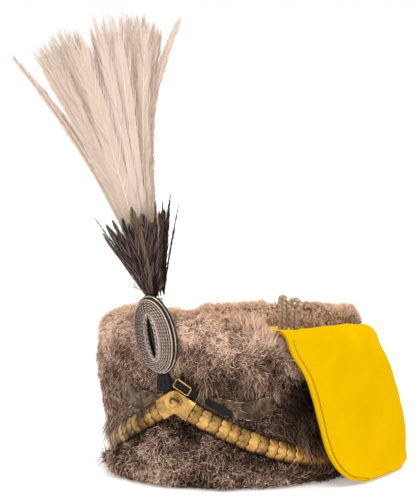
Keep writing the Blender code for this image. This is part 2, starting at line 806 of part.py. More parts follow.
def make_boss(side, letter, path, material):
    """Turned boss that holds the end of one half, with a Screw profile."""
    place, _, normal, _ = chin_frame(side, path, path[1][-1])
    profile = (
        (0.0, BOSS_HEIGHT),
        (BOSS_RADIUS * 0.45, BOSS_HEIGHT * 0.88),
        (BOSS_RADIUS * 0.80, BOSS_HEIGHT * 0.50),
        (BOSS_RADIUS * 0.86, BOSS_HEIGHT * 0.30),
        (BOSS_RADIUS, BOSS_HEIGHT * 0.24),
        (BOSS_RADIUS, 0.0),
        (0.0, 0.0),
    )
    mesh = bpy.data.meshes.new("boss_%s" % letter)
    points = [(radius, 0.0, height) for radius, height in profile]
    mesh.from_pydata(points, [(i, i + 1) for i in range(len(points) - 1)], [])
    boss = link_part("boss_%s" % letter, mesh, material)
    turned = boss.modifiers.new("turned", "SCREW")
    turned.steps = 16
    turned.render_steps = 16
    turned.use_merge_vertices = True
    turned.merge_threshold = 0.0001
    turned.use_smooth_shade = False
    aim = normal.to_track_quat("Z", "Y").to_matrix().to_4x4()
    boss.matrix_world = Matrix.Translation(place) @ aim


def end_plate_rings(side, path, lift):
    """A plate with a round end over the joint, which runs into the scales of one half."""
    half = SCALE_WIDTH * 0.5
    place, tangent, normal, across = chin_frame(side, path, 0.0)
    rows = [-0.92, -0.70, -0.35, 0.0]
    rings = []
    for share in rows:
        width = half * sqrt(1.0 - share * share)
        rings.append((place + tangent * share * half, width, normal, across, 0.0))
    for length, share in ((half, 0.0), (END_PLATE_LENGTH - GAP, 1.0)):
        spot, _, facing, over = chin_frame(side, path, length)
        rings.append((spot, half, facing, over, share))
    result = []
    for spot, width, facing, over, share in rings:
        top = []
        low = []
        for i in range(7):
            across_share = 2.0 * i / 6.0 - 1.0
            rise = lift + SCALE_ARCH * (0.25 + 0.75 * share) * (1.0 - across_share ** 2)
            point = spot + over * width * across_share + facing * rise
            low.append(point)
            top.append(point + facing * SCALE_PLATE)
        result.append(top + low[::-1])
    return result


def make_joint(materials):
    """Two end plates, one over the other, and the hook that holds them."""
    stack = SCALE_PLATE + SCALE_ARCH * 0.25 + GAP
    lower = end_plate_rings(-1, chin_path(-1, SCALE_DEPTH), 0.0)
    upper = end_plate_rings(1, chin_path(1, SCALE_DEPTH), stack)
    link_part("end_plate_lower", loft_mesh("end_plate_lower", lower), materials["gilt"], None, 50)
    link_part("end_plate_upper", loft_mesh("end_plate_upper", upper), materials["gilt"], None, 50)

    place, tangent, normal, across = chin_frame(1, chin_path(1, SCALE_DEPTH), 0.0)
    lift = stack + SCALE_ARCH * 0.25 + SCALE_PLATE + GAP
    curve = bpy.data.curves.new("joint_hook", "CURVE")
    curve.dimensions = "3D"
    curve.bevel_depth = HOOK_RADIUS * 0.4
    curve.bevel_resolution = 1
    curve.use_fill_caps = True
    spline = curve.splines.new("POLY")
    route = ((-0.2, 0.9), (-1.0, 0.5), (-0.9, -0.4), (0.0, -0.9), (1.2, -1.0), (2.4, -1.3))
    spline.points.add(len(route) - 1)
    for point, (along, up) in zip(spline.points, route):
        spot = place + tangent * along * HOOK_RADIUS + across * up * HOOK_RADIUS
        spot += normal * (lift + curve.bevel_depth)
        point.co = (*spot, 1.0)
    hook = bpy.data.objects.new("joint_hook", curve)
    part_collection.objects.link(hook)
    hook.parent = cap_origin
    curve.materials.append(materials["gilt"])


# Thin strap and buckle above the scales


def strap_place(side_turn, above, depth):
    """A point beside the scales: degrees from the joint and distance above their middle."""
    return wall_point(JOINT_ANGLE + side_turn, depth, chin_height(side_turn) + above)


def make_thin_strap(materials):
    above = SCALE_WIDTH * 0.5 + BUCKLE_WIDTH * 0.5 + BUCKLE_CLEAR
    steps = 10
    rings = []
    for step in range(steps + 1):
        turn = mix(THIN_STRAP_START, THIN_STRAP_END, step / steps)
        middle = strap_place(turn, above, LEATHER_DEPTH)
        normal = wall_normal(JOINT_ANGLE + turn, 0.0)
        up = Vector((0.0, 0.0, THIN_STRAP_WIDTH * 0.5))
        rings.append([
            middle - up,
            middle + up,
            middle + up + normal * LEATHER,
            middle - up + normal * LEATHER,
        ])
    link_part("thin_strap", loft_mesh("thin_strap", rings), materials["dark_leather"])

    turn = BUCKLE_TURN
    middle = strap_place(turn, above, LEATHER_DEPTH)
    normal = wall_normal(JOINT_ANGLE + turn, 0.0)
    ahead = strap_place(turn + 1.0, above, LEATHER_DEPTH) - strap_place(turn - 1.0, above, LEATHER_DEPTH)
    along = ahead.normalized()
    up = normal.cross(along).normalized()
    curve = bpy.data.curves.new("buckle_frame", "CURVE")
    curve.dimensions = "3D"
    curve.bevel_depth = BUCKLE_WIRE
    curve.bevel_resolution = 1
    spline = curve.splines.new("POLY")
    corner = 0.7
    outline = (
        (-1.0, -corner), (-1.0, corner), (-0.85, 1.0), (0.85, 1.0),
        (1.0, corner), (1.0, -corner), (0.85, -1.0), (-0.85, -1.0),
    )
    spline.points.add(len(outline) - 1)
    for point, (forward, rise) in zip(spline.points, outline):
        spot = middle + along * forward * BUCKLE_LENGTH * 0.5 + up * rise * BUCKLE_WIDTH * 0.5
        spot += normal * (LEATHER + BUCKLE_WIRE + SEAT)
        point.co = (*spot, 1.0)
    spline.use_cyclic_u = True
    frame = bpy.data.objects.new("buckle_frame", curve)
    part_collection.objects.link(frame)
    frame.parent = cap_origin
    curve.materials.append(materials["gilt"])


# Badge: a bare scroll with a raised border, half buried in the fur

# degrees from the joint, rise of the middle as a share of BADGE_RISE, half width share
BADGE_ROWS = (
    (-44.0, 0.98, 0.50),
    (-41.0, 0.88, 0.95),
    (-34.0, 0.70, 1.00),
    (-26.0, 0.44, 1.00),
    (-17.0, 0.20, 1.00),
    (-8.0, 0.04, 1.00),
    (2.0, 0.00, 1.00),
    (12.0, 0.00, 1.00),
    (20.0, -0.10, 0.96),
    (25.0, -0.26, 0.80),
    (29.0, -0.70, 0.85),
    (34.0, -0.74, 1.00),
    (39.0, -0.40, 1.00),
    (43.0, 0.00, 0.92),
    (46.0, 0.30, 0.45),
)


def make_badge(materials):
    rings = []
    for turn, rise, width in BADGE_ROWS:
        angle = JOINT_ANGLE + turn
        middle = wall_point(angle, BADGE_DEPTH, BADGE_HEIGHT + rise * BADGE_RISE)
        normal = wall_normal(angle, 0.0)
        half = BADGE_HALF_WIDTH * width
        low = middle + DOWN * half
        high = middle - DOWN * half
        border = Vector((0.0, 0.0, min(BADGE_BORDER_WIDTH, half * 0.3)))
        plate = normal * BADGE_PLATE
        raised = normal * (BADGE_PLATE + BADGE_BORDER)
        rings.append([
            low,
            high,
            high + raised,
            high - border + raised,
            high - border + plate,
            low + border + plate,
            low + border + raised,
            low + raised,
        ])
    link_part("badge_scroll", loft_mesh("badge_scroll", rings), materials["grey_metal"])


# Crown cloth, bag and loops


def make_crown_cloth(materials):
    """Cloth top on the ledge of the shell, slightly domed."""
    count = 40
    rings = []
    edge = SEAT * 2.0
    table = ((1.0, 0.0, 0.0), (1.0, 0.0, 1.0), (0.72, 0.0, 1.0), (0.30, 0.0, 1.0))
    for share, rise, layer in table:
        height = CROWN_HEIGHT + GAP + rise + CLOTH * layer
        rings.append(oval((SHELL_HALF_WIDTH - edge) * share, (SHELL_HALF_LENGTH - edge) * share, height, count))
    link_part("crown_cloth", loft_mesh("crown_cloth", rings), materials["yellow_cloth"], None, 40)


def bag_point(row, across):
    """Middle surface of the bag at a row of its table and a place across it, from -1 to 1."""
    _, out, height, front, rear, front_fall, rear_fall = row
    lying = CROWN_HEIGHT + GAP + CLOTH + GAP + BAG_THICKNESS * 0.5 + SEAT
    resting = BAG_FLOOR_GAP + BAG_THICKNESS * 0.5
    z = max(height * CAP_HEIGHT, resting) if height else lying
    x = SHELL_HALF_WIDTH + out * BAG_STAND_OFF
    half = front if across < 0.0 else rear
    fall = front_fall if across < 0.0 else rear_fall
    y = across * half * BAG_HALF_WIDTH
    if height:
        z = max(z - bag_sag(y) * blend(BAG_SAG_END, BAG_SAG_START, height), min(z, lying))
    return Vector((x - fall * BAG_HALF_WIDTH * across * across, y, z))


def make_bag(materials):
    bm = bmesh.new()
    loops = []
    for row in BAG_ROWS:
        loops.append([
            bm.verts.new(bag_point(row, 2.0 * column / BAG_COLUMNS - 1.0))
            for column in range(BAG_COLUMNS + 1)
        ])
    for near, far in zip(loops, loops[1:]):
        for column in range(BAG_COLUMNS):
            bm.faces.new((near[column], near[column + 1], far[column + 1], far[column]))
    mesh = bpy.data.meshes.new("bag")
    bm.to_mesh(mesh)
    bm.free()
    bag = link_part("bag", mesh, materials["yellow_cloth"], None, 60)
    thick = bag.modifiers.new("two_layers", "SOLIDIFY")
    thick.thickness = BAG_THICKNESS
    thick.offset = 0.0
    thick.use_even_offset = True
    return bag


def make_loop(name, route, material):
    curve = bpy.data.curves.new(name, "CURVE")
    curve.dimensions = "3D"
    curve.bevel_depth = LOOP_WIRE
    curve.bevel_resolution = 1
    curve.use_fill_caps = True
    spline = curve.splines.new("POLY")
    spline.points.add(len(route) - 1)
    for point, spot in zip(spline.points, route):
        point.co = (*spot, 1.0)
    loop = bpy.data.objects.new(name, curve)
    part_collection.objects.link(loop)
    loop.parent = cap_origin
    curve.materials.append(material)


def make_loops(materials):
    """A narrow upright loop and a round loop of silver cord, both sewn to the crown."""
    foot = CROWN_HEIGHT + GAP + CLOTH + GAP
    half = LOOP_HALF_WIDTH
    straight = LOOP_HEIGHT - LOOP_WIRE - half
    route = [Vector((LOOP_X - half, LOOP_Y, foot))]
    for step in range(7):
        turn = pi - pi * step / 6
        route.append(Vector((LOOP_X + half * cos(turn), LOOP_Y, foot + straight + half * sin(turn))))
    route.append(Vector((LOOP_X + half, LOOP_Y, foot)))
    make_loop("loop_upright", route, materials["silver_cord"])

    middle_x = LOOP_X + half + LOOP_WIRE * 2.0 + RING_RADIUS + GAP * 2.0
    middle_z = foot + LOOP_HEIGHT * 0.73
    leg = LOOP_WIRE * 1.15
    opening = asin(leg / RING_RADIUS)
    first = -0.5 * pi - opening
    last = -2.5 * pi + opening
    route = [Vector((middle_x - leg, LOOP_Y, foot))]
    for step in range(13):
        turn = mix(first, last, step / 12)
        route.append(Vector((middle_x + RING_RADIUS * cos(turn), LOOP_Y, middle_z + RING_RADIUS * sin(turn))))
    route.append(Vector((middle_x + leg, LOOP_Y, foot)))
    make_loop("loop_round", route, materials["silver_cord"])


def build():
    global part_collection, cutter_collection, cap_origin
    clear_scene()
    part_collection = bpy.data.collections.new("fur_cap")
    cutter_collection = bpy.data.collections.new("fur_cap_cutters")
    bpy.context.scene.collection.children.link(part_collection)
    bpy.context.scene.collection.children.link(cutter_collection)
    cap_origin = bpy.data.objects.new("cap_origin", None)
    part_collection.objects.link(cap_origin)
    materials = make_materials()

    make_fur_body(materials["fur"])
    make_crown_cloth(materials)
    make_bag(materials)
    make_cockade(materials)
    seat = make_empty("plume_seat", plume_matrix())
    make_plume_stem(seat, materials["white_feather"])
    make_plume_white(seat, materials["white_feather"])
    make_plume_dark(seat, materials["dark_feather"])
    make_chin_scales(materials)
    make_joint(materials)
    make_thin_strap(materials)
    make_badge(materials)
    make_loops(materials)


build()
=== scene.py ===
"""Looks of the fur cap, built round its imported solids.

Metres, +Z up. The cap stands on z = 0, the wearer faces -Y and the cloth bag hangs at +X.
"""

from math import asin, cos, pi, radians, sin, sqrt

import bmesh
import bpy
import numpy as np
from mathutils import Matrix, Vector
from mathutils.bvhtree import BVHTree
from mathutils.kdtree import KDTree


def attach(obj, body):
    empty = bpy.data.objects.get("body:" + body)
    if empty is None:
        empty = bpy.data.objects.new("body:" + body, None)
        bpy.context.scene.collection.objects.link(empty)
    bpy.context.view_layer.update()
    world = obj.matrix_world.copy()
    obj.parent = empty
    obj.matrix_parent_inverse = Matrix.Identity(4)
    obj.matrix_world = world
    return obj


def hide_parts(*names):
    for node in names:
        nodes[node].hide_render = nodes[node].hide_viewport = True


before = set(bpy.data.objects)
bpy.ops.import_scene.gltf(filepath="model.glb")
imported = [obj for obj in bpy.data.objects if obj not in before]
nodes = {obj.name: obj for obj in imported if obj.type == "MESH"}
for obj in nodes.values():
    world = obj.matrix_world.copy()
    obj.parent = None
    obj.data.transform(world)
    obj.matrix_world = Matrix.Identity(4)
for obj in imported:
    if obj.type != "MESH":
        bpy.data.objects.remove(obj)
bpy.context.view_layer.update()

# Camera at the photograph's angle: 31 degrees to the cap's left and 3.3 above the floor
CAMERA_AIM = Vector((-0.0211, -0.0127, 0.1792))
CAMERA_TURN = radians(31.0)
CAMERA_RISE = radians(3.3)
CAMERA_DISTANCE = 1.4
FOCAL_LENGTH_MM = 80.96
LONG_SIDE_MM = 24.0

# Floor and light
FLOOR_REACH = 30.0
FLOOR_COLOUR = 0.9
FLOOR_GLOW = 0.30
WORLD_STRENGTH = 1.0
LIGHT_AIM = Vector((0.0, 0.0, 0.1))
LIGHTS = (
    # place, size, power, colour
    ((0.6, -1.0, 1.9), 0.9, 15.0, (1.0, 0.98, 0.95)),
    ((0.2, 1.3, 2.0), 1.0, 8.0, (1.0, 1.0, 1.0)),
)

# Sizes that the solids have too
SHELL_HALF_WIDTH = 0.084
SHELL_HALF_LENGTH = 0.102
CROWN_HEIGHT = 0.104
FUR_ABOVE_CROWN = 0.020
CAP_HEIGHT = CROWN_HEIGHT + FUR_ABOVE_CROWN
CLOTH = 0.002
GAP = 0.0003

# Fur
VOXEL = 0.0028
PILE = 0.0085
HIDE_FLOOR = 0.0004
CLUMPS = 9000
FUR_SECTORS = 5

# Chin scales
JOINT_ANGLE = -84.0
CHIN_REACH = 80.0
CHIN_SIDE_HEIGHT = 0.017
CHIN_RISE = 0.0515
CHIN_CURVE = 1.65
SCALE_DEPTH = 0.0130475
SCALE_WIDTH = 0.0160
SCALE_ARCH = 0.0030
SCALE_PLATE = 0.0008
SCALE_LOBE = 0.0013
SCALES_PER_SIDE = 16
END_PLATE_LENGTH = 0.016
BOSS_RADIUS = 0.0105

# Cockade
COCKADE_HALF_WIDTH = 0.0185
COCKADE_HALF_HEIGHT = 0.0325
COCKADE_ABOVE_JOINT = 0.0525
COCKADE_HEIGHT = CHIN_SIDE_HEIGHT + CHIN_RISE + COCKADE_ABOVE_JOINT
COCKADE_STAND_OFF = 0.0225
COCKADE_LEAN = radians(17.0)
COCKADE_BACK = 0.0020
COCKADE_EDGE = 0.0022
COCKADE_DOME = 0.0042
SLIT_HALF_WIDTH = 0.0026
SLIT_HALF_HEIGHT = 0.0165

# Plume
PLUME_LEAN_FORWARD = radians(15.0)
PLUME_LEAN_RIGHT = radians(4.0)
PLUME_FOOT_SIDE = -0.003
PLUME_FOOT_OUT = 0.0175
PLUME_FOOT_ABOVE = 0.026
PLUME_FOOT = Vector((PLUME_FOOT_SIDE, -SHELL_HALF_LENGTH - PLUME_FOOT_OUT, COCKADE_HEIGHT + PLUME_FOOT_ABOVE))
WHITE_LENGTH = 0.222
QUILL_CONE = 0.070
CONE_HALF_WIDTH = 0.0225
CONE_HALF_DEPTH = 0.0165

# Bag
BAG_HALF_WIDTH = 0.078
BAG_STAND_OFF = 0.0345
BAG_FLOOR_GAP = 0.0012
BAG_THICKNESS = 0.0030

# Loops
LOOP_X = 0.0205
LOOP_Y = 0.040
LOOP_HALF_WIDTH = 0.0021
LOOP_WIRE = 0.0019
LOOP_HEIGHT = 0.0335
RING_RADIUS = 0.0052
LOOP_SWELL = 1.32
LOOP_PITCH = 0.0036


def mix(first, second, share):
    return first + (second - first) * share


def blend(low, high, value):
    """A smooth 0 to 1 step between two values, of numbers or arrays."""
    share = np.clip((value - low) / (high - low), 0.0, 1.0)
    return share * share * (3.0 - 2.0 * share)


def unit(vectors):
    return vectors / np.maximum(np.linalg.norm(vectors, axis=-1, keepdims=True), 1e-12)


def dot(first, second):
    return np.sum(first * second, axis=-1, keepdims=True)


def waves(points, size, seed):
    """Smooth noise made of a few waves, roughly between -1 and 1."""
    rng = np.random.default_rng(seed)
    total = np.zeros(len(points))
    count = 7
    for _ in range(count):
        direction = rng.normal(size=3)
        direction /= np.linalg.norm(direction)
        frequency = 2.0 * pi / size * rng.uniform(0.6, 1.7)
        total += np.sin(points @ direction * frequency + rng.uniform(0.0, 2.0 * pi))
    return total / sqrt(count)


# Camera, floor and light


def make_camera():
    data = bpy.data.cameras.new("camera")
    data.lens = FOCAL_LENGTH_MM
    data.sensor_width = LONG_SIDE_MM
    data.clip_start = 0.01
    camera = bpy.data.objects.new("camera", data)
    bpy.context.scene.collection.objects.link(camera)
    level = cos(CAMERA_RISE)
    back = Vector((sin(CAMERA_TURN) * level, -cos(CAMERA_TURN) * level, sin(CAMERA_RISE)))
    camera.location = CAMERA_AIM + back * CAMERA_DISTANCE
    camera.rotation_euler = (-back).to_track_quat("-Z", "Y").to_euler()
    bpy.context.scene.camera = camera


def stage_plane(name, corners, colour, glow):
    mesh = bpy.data.meshes.new(name)
    mesh.from_pydata(corners, [], [(0, 1, 2, 3)])
    piece = bpy.data.objects.new(name, mesh)
    bpy.context.scene.collection.objects.link(piece)
    material = bpy.data.materials.new(name)
    material.use_nodes = True
    shader = material.node_tree.nodes["Principled BSDF"]
    shader.inputs["Base Color"].default_value = (colour, colour, colour, 1.0)
    shader.inputs["Roughness"].default_value = 0.9
    shader.inputs["Emission Color"].default_value = (1.0, 1.0, 1.0, 1.0)
    shader.inputs["Emission Strength"].default_value = glow
    mesh.materials.append(material)


def make_stage():
    far = FLOOR_REACH
    corners = ((-far, -far, 0), (far, -far, 0), (far, far, 0), (-far, far, 0))
    stage_plane("floor", corners, FLOOR_COLOUR, FLOOR_GLOW)
    world = bpy.data.worlds.new("studio")
    bpy.context.scene.world = world
    world.use_nodes = True
    background = world.node_tree.nodes["Background"]
    background.inputs["Color"].default_value = (1.0, 1.0, 1.0, 1.0)
    background.inputs["Strength"].default_value = WORLD_STRENGTH
    for number, (place, size, power, colour) in enumerate(LIGHTS):
        data = bpy.data.lights.new("softbox_%d" % number, "AREA")
        data.shape = "DISK"
        data.size = size
        data.energy = power
        data.color = colour
        light = bpy.data.objects.new(data.name, data)
        bpy.context.scene.collection.objects.link(light)
        light.location = place
        light.rotation_euler = (LIGHT_AIM - Vector(place)).to_track_quat("-Z", "Y").to_euler()
    bpy.context.scene.view_settings.view_transform = "Standard"


# Materials


class Surface:
    """A material's nodes, added one by one and joined to its Principled shader."""

    def __init__(self, name, colour=(0.5, 0.5, 0.5), **values):
        self.material = bpy.data.materials.new(name)
        self.material.use_nodes = True
        self.tree = self.material.node_tree
        self.shader = self.tree.nodes["Principled BSDF"]
        self.shader.inputs["Base Color"].default_value = (*colour, 1.0)
        for key, value in values.items():
            self.shader.inputs[key.replace("_", " ")].default_value = value
        self.coordinates = None

    def node(self, kind, **values):
        node = self.tree.nodes.new(kind)
        for key, value in values.items():
            setattr(node, key, value)
        return node

    def join(self, source, target):
        self.tree.links.new(source, target)

    def place(self):
        if self.coordinates is None:
            self.coordinates = self.node("ShaderNodeTexCoord").outputs["Object"]
        return self.coordinates

    def noise(self, scale, detail=4.0, roughness=0.6, stretch=None):
        texture = self.node("ShaderNodeTexNoise")
        texture.inputs["Scale"].default_value = scale
        texture.inputs["Detail"].default_value = detail
        texture.inputs["Roughness"].default_value = roughness
        source = self.place()
        if stretch:
            mapping = self.node("ShaderNodeMapping")
            mapping.inputs["Scale"].default_value = stretch
            self.join(source, mapping.inputs["Vector"])
            source = mapping.outputs["Vector"]
        self.join(source, texture.inputs["Vector"])
        return texture.outputs["Fac"]

    def ramp(self, source, stops):
        ramp = self.node("ShaderNodeValToRGB")
        elements = ramp.color_ramp.elements
        while len(elements) < len(stops):
            elements.new(0.5)
        for element, (position, colour) in zip(elements, stops):
            element.position = position
            element.color = (*colour, 1.0)
        self.join(source, ramp.inputs["Fac"])
        return ramp.outputs["Color"]

    def share_along(self, axis, low, high):
        """0 to 1 between two places on an axis."""
        split = self.node("ShaderNodeSeparateXYZ")
        self.join(self.place(), split.inputs[0])
        span = self.node("ShaderNodeMapRange")
        span.inputs["From Min"].default_value = low
        span.inputs["From Max"].default_value = high
        self.join(split.outputs[axis], span.inputs["Value"])
        return span.outputs["Result"]

    def mixed(self, source, first, second, kind="MIX"):
        """The mix of two colours by a factor, which may be a number or a socket."""
        node = self.node("ShaderNodeMix", data_type="RGBA", blend_type=kind)
        for socket, value in ((0, source), (6, first), (7, second)):
            if hasattr(value, "is_linked"):
                self.join(value, node.inputs[socket])
            elif socket:
                node.inputs[socket].default_value = (*value, 1.0)
            else:
                node.inputs[socket].default_value = value
        return node.outputs[2]

    def math(self, kind, first, second=None):
        node = self.node("ShaderNodeMath", operation=kind)
        for socket, value in enumerate((first, second)):
            if hasattr(value, "is_linked"):
                self.join(value, node.inputs[socket])
            elif value is not None:
                node.inputs[socket].default_value = value
        return node.outputs[0]

    def attribute(self, name, output="Color"):
        return self.node("ShaderNodeAttribute", attribute_name=name).outputs[output]

    def colour(self, source):
        self.join(source, self.shader.inputs["Base Color"])

    def rough(self, source, low, high):
        span = self.node("ShaderNodeMapRange")
        span.inputs["To Min"].default_value = low
        span.inputs["To Max"].default_value = high
        self.join(source, span.inputs["Value"])
        self.join(span.outputs["Result"], self.shader.inputs["Roughness"])

    def bump(self, source, distance, strength=0.6):
        node = self.node("ShaderNodeBump")
        node.inputs["Distance"].default_value = distance
        node.inputs["Strength"].default_value = strength
        self.join(source, node.inputs["Height"])
        self.join(node.outputs["Normal"], self.shader.inputs["Normal"])


def fur_material():
    surface = Surface("fur_strands", Roughness=0.7, Specular_IOR_Level=0.15)
    surface.colour(surface.attribute("fur_colour"))
    return surface.material


def hide_material():
    """Undercoat: dark felted fur outside, a plain stiff backing inside, with painted light that makes it
    lighter from just below the crown's height upwards.
    """
    surface = Surface("fur_hide", Roughness=0.9, Specular_IOR_Level=0.1)
    fine = surface.noise(900.0, 5.0)
    coarse = surface.noise(120.0, 3.0)
    grain = surface.math("MULTIPLY", fine, coarse)
    low = surface.ramp(grain, ((0.10, (0.010, 0.007, 0.005)), (0.42, (0.07, 0.048, 0.036))))
    high = surface.ramp(grain, ((0.10, (0.17, 0.112, 0.078)), (0.42, (0.36, 0.24, 0.17))))
    # Painted light: the hide is lighter towards the top of the rim, where the light falls from above.
    rise = surface.share_along(2, CROWN_HEIGHT - 0.016, CROWN_HEIGHT + 0.006)
    surface.colour(surface.mixed(rise, low, high))
    surface.bump(fine, 0.0012, 0.8)
    return surface.material


def cloth_material(name, dark, light, stain=None):
    """Felted wool: fine crossed weave under a nap, with slow changes of tone."""
    surface = Surface(name, Roughness=0.85, Specular_IOR_Level=0.0)
    slow = surface.noise(22.0, 3.0, 0.55)
    nap = surface.noise(2600.0, 4.0, 0.7)
    weave_a = surface.noise(1500.0, 1.0, 0.5, (1.0, 1.0, 0.22))
    weave_b = surface.noise(1500.0, 1.0, 0.5, (0.22, 0.22, 1.0))
    weave = surface.math("MULTIPLY", weave_a, weave_b)
    tone = surface.math("ADD", surface.math("MULTIPLY", slow, 0.65), surface.math("MULTIPLY", nap, 0.35))
    colour = surface.ramp(tone, ((0.30, dark), (0.68, light)))
    if stain:
        place, radius, tint = stain
        shift = surface.node("ShaderNodeVectorMath", operation="DISTANCE")
        surface.join(surface.place(), shift.inputs[0])
        shift.inputs[1].default_value = place
        ragged = surface.math("ADD", shift.outputs["Value"], surface.math("MULTIPLY", nap, radius * 0.5))
        share = surface.math("LESS_THAN", ragged, radius)
        colour = surface.mixed(surface.math("MULTIPLY", share, 0.55), colour, tint)
    surface.colour(colour)
    surface.rough(nap, 0.75, 0.95)
    surface.bump(surface.math("ADD", surface.math("MULTIPLY", weave, 0.8), nap), 0.0004, 0.35)
    return surface.material


def silver_material(name="tarnished_silver", light=(0.64, 0.505, 0.430), dark=(0.070, 0.044, 0.032), axis=0,
                    low=-0.016, high=0.004):
    """Silver thread, tarnished in patches, with painted shade that makes it darker towards the low end of an
    axis.
    """
    surface = Surface(name, Metallic=0.55, Roughness=0.42)
    tarnish = surface.noise(900.0, 5.0, 0.75)
    # Painted shade: darker towards the low end of the axis, lighter towards its high end.
    painted_light_ramp = surface.math("MULTIPLY", surface.share_along(axis, low, high), 0.16)
    tone = surface.math("ADD", painted_light_ramp, tarnish)
    surface.colour(surface.ramp(tone, ((0.44, dark), (0.72, light))))
    surface.rough(tarnish, 0.34, 0.60)
    surface.bump(surface.noise(2600.0, 2.0), 0.0002, 0.4)
    return surface.material


def velvet_material():
    surface = Surface("black_velvet", (0.006, 0.006, 0.007), Roughness=0.95, Sheen_Weight=0.2)
    surface.bump(surface.noise(2000.0), 0.0004)
    return surface.material


def leather_material():
    surface = Surface("black_leather", Roughness=0.55, Specular_IOR_Level=0.18)
    grain = surface.noise(1300.0, 3.0)
    tone_marks = surface.noise(90.0, 4.0)
    surface.colour(surface.ramp(tone_marks, ((0.35, (0.003, 0.003, 0.004)), (0.75, (0.012, 0.012, 0.014)))))
    surface.rough(tone_marks, 0.45, 0.70)
    surface.bump(grain, 0.0003, 0.5)
    return surface.material


def gilt_material(name="gilt_brass", bright=(0.70, 0.41, 0.122), dull=(0.066, 0.033, 0.011), grime_and_shade=None):
    """Gilt brass, bright on the crowns and brown with old patina in patches and low places; an optional
    attribute darkens it further with wear, dirt and painted shade.
    """
    surface = Surface(name, Metallic=0.85, Roughness=0.35)
    patches = surface.noise(85.0, 6.0, 0.62)
    specks = surface.noise(620.0, 4.0, 0.7)
    broad = surface.math("MULTIPLY", patches, 0.72)
    tone = surface.math("ADD", broad, surface.math("MULTIPLY", specks, 0.28))
    if grime_and_shade:
        # The attribute darkens it by wear and dirt together with painted shade.
        tone = surface.math("SUBTRACT", tone, surface.attribute(grime_and_shade, "Fac"))
    surface.colour(surface.ramp(tone, ((0.28, dull), (0.47, mix_colour(dull, bright, 0.55)), (0.60, bright))))
    surface.rough(tone, 0.55, 0.28)
    surface.bump(specks, 0.0002, 0.3)
    return surface.material


def mix_colour(first, second, share):
    return tuple(mix(a, b, share) for a, b in zip(first, second))


def dull_metal_material():
    surface = Surface("dull_metal", Metallic=0.85, Roughness=0.55)
    patches = surface.noise(140.0, 5.0)
    surface.colour(surface.ramp(patches, ((0.36, (0.038, 0.022, 0.014)), (0.66, (0.170, 0.108, 0.068)))))
    surface.rough(patches, 0.65, 0.38)
    surface.bump(surface.noise(900.0), 0.0002, 0.4)
    return surface.material


def feather_material(name, roughness, shine, glow=0.0):
    """Feathers by their colour attribute. The glow stands for the light that white vanes let through."""
    surface = Surface(name, Roughness=roughness, Specular_IOR_Level=shine, Emission_Strength=glow)
    surface.shader.inputs["Emission Color"].default_value = (0.80, 0.64, 0.53, 1.0)
    surface.colour(surface.attribute("feather_colour"))
    return surface.material


def quill_material():
    surface = Surface("quill_binding", Roughness=0.5)
    thread = surface.noise(900.0, 2.0, 0.5, (0.3, 0.3, 1.0))
    surface.colour(surface.ramp(thread, ((0.32, (0.45, 0.33, 0.20)), (0.62, (0.82, 0.70, 0.52)))))
    surface.bump(thread, 0.0005, 0.7)
    return surface.material


def shaft_material():
    """Shafts of the white feathers, browner towards the wearer's right."""
    surface = Surface("feather_shaft", (0.72, 0.50, 0.25), Roughness=0.35)
    across = surface.share_along(0, -0.055, -0.005)
    surface.colour(surface.ramp(across, ((0.0, (0.42, 0.26, 0.09)), (1.0, (0.90, 0.78, 0.60)))))
    return surface.material


def padding_material():
    surface = Surface("cockade_padding", (0.020, 0.015, 0.012), Roughness=0.8)
    surface.bump(surface.noise(1500.0), 0.0003)
    return surface.material


def satin_material():
    """Blue-black cloth of the gathered tongue."""
    surface = Surface("blue_black_satin", Roughness=0.5, Specular_IOR_Level=0.12)
    grain = surface.noise(900.0, 3.0)
    surface.colour(surface.ramp(grain, ((0.35, (0.003, 0.003, 0.005)), (0.70, (0.022, 0.022, 0.030)))))
    surface.bump(grain, 0.0003, 0.5)
    return surface.material


def edge_highlight_material():
    """Dull metal with bright patches, painted highlights in places."""
    surface = Surface("edge_highlight", Metallic=0.5, Roughness=0.5)
    # The noise picks where the painted highlights fall.
    tone_marks = surface.noise(160.0, 4.0)
    surface.colour(surface.ramp(tone_marks, ((0.50, (0.07, 0.048, 0.033)), (0.66, (0.60, 0.48, 0.36)))))
    return surface.material


# Meshes


def link(name, mesh, material, smooth=True):
    piece = bpy.data.objects.new(name, mesh)
    bpy.context.scene.collection.objects.link(piece)
    mesh.materials.append(material)
    if smooth:
        mesh.shade_smooth()
    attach(piece, "root")
    return piece


def put_material(node, material):
    slots = nodes[node].material_slots
    if not slots:
        nodes[node].data.materials.append(material)
    for slot in nodes[node].material_slots:
        slot.material = material


def fill_mesh(name, points, sizes, corners):
    """A mesh from arrays: its points, the corners of each face, and their indices in one row."""
    mesh = bpy.data.meshes.new(name)
    mesh.vertices.add(len(points))
    mesh.vertices.foreach_set("co", points.astype(np.float32).ravel())
    mesh.loops.add(len(corners))
    mesh.loops.foreach_set("vertex_index", corners.astype(np.int32))
    mesh.polygons.add(len(sizes))
    starts = np.concatenate(([0], np.cumsum(sizes)[:-1]))
    mesh.polygons.foreach_set("loop_start", starts.astype(np.int32))
    mesh.update(calc_edges=True)
    return mesh


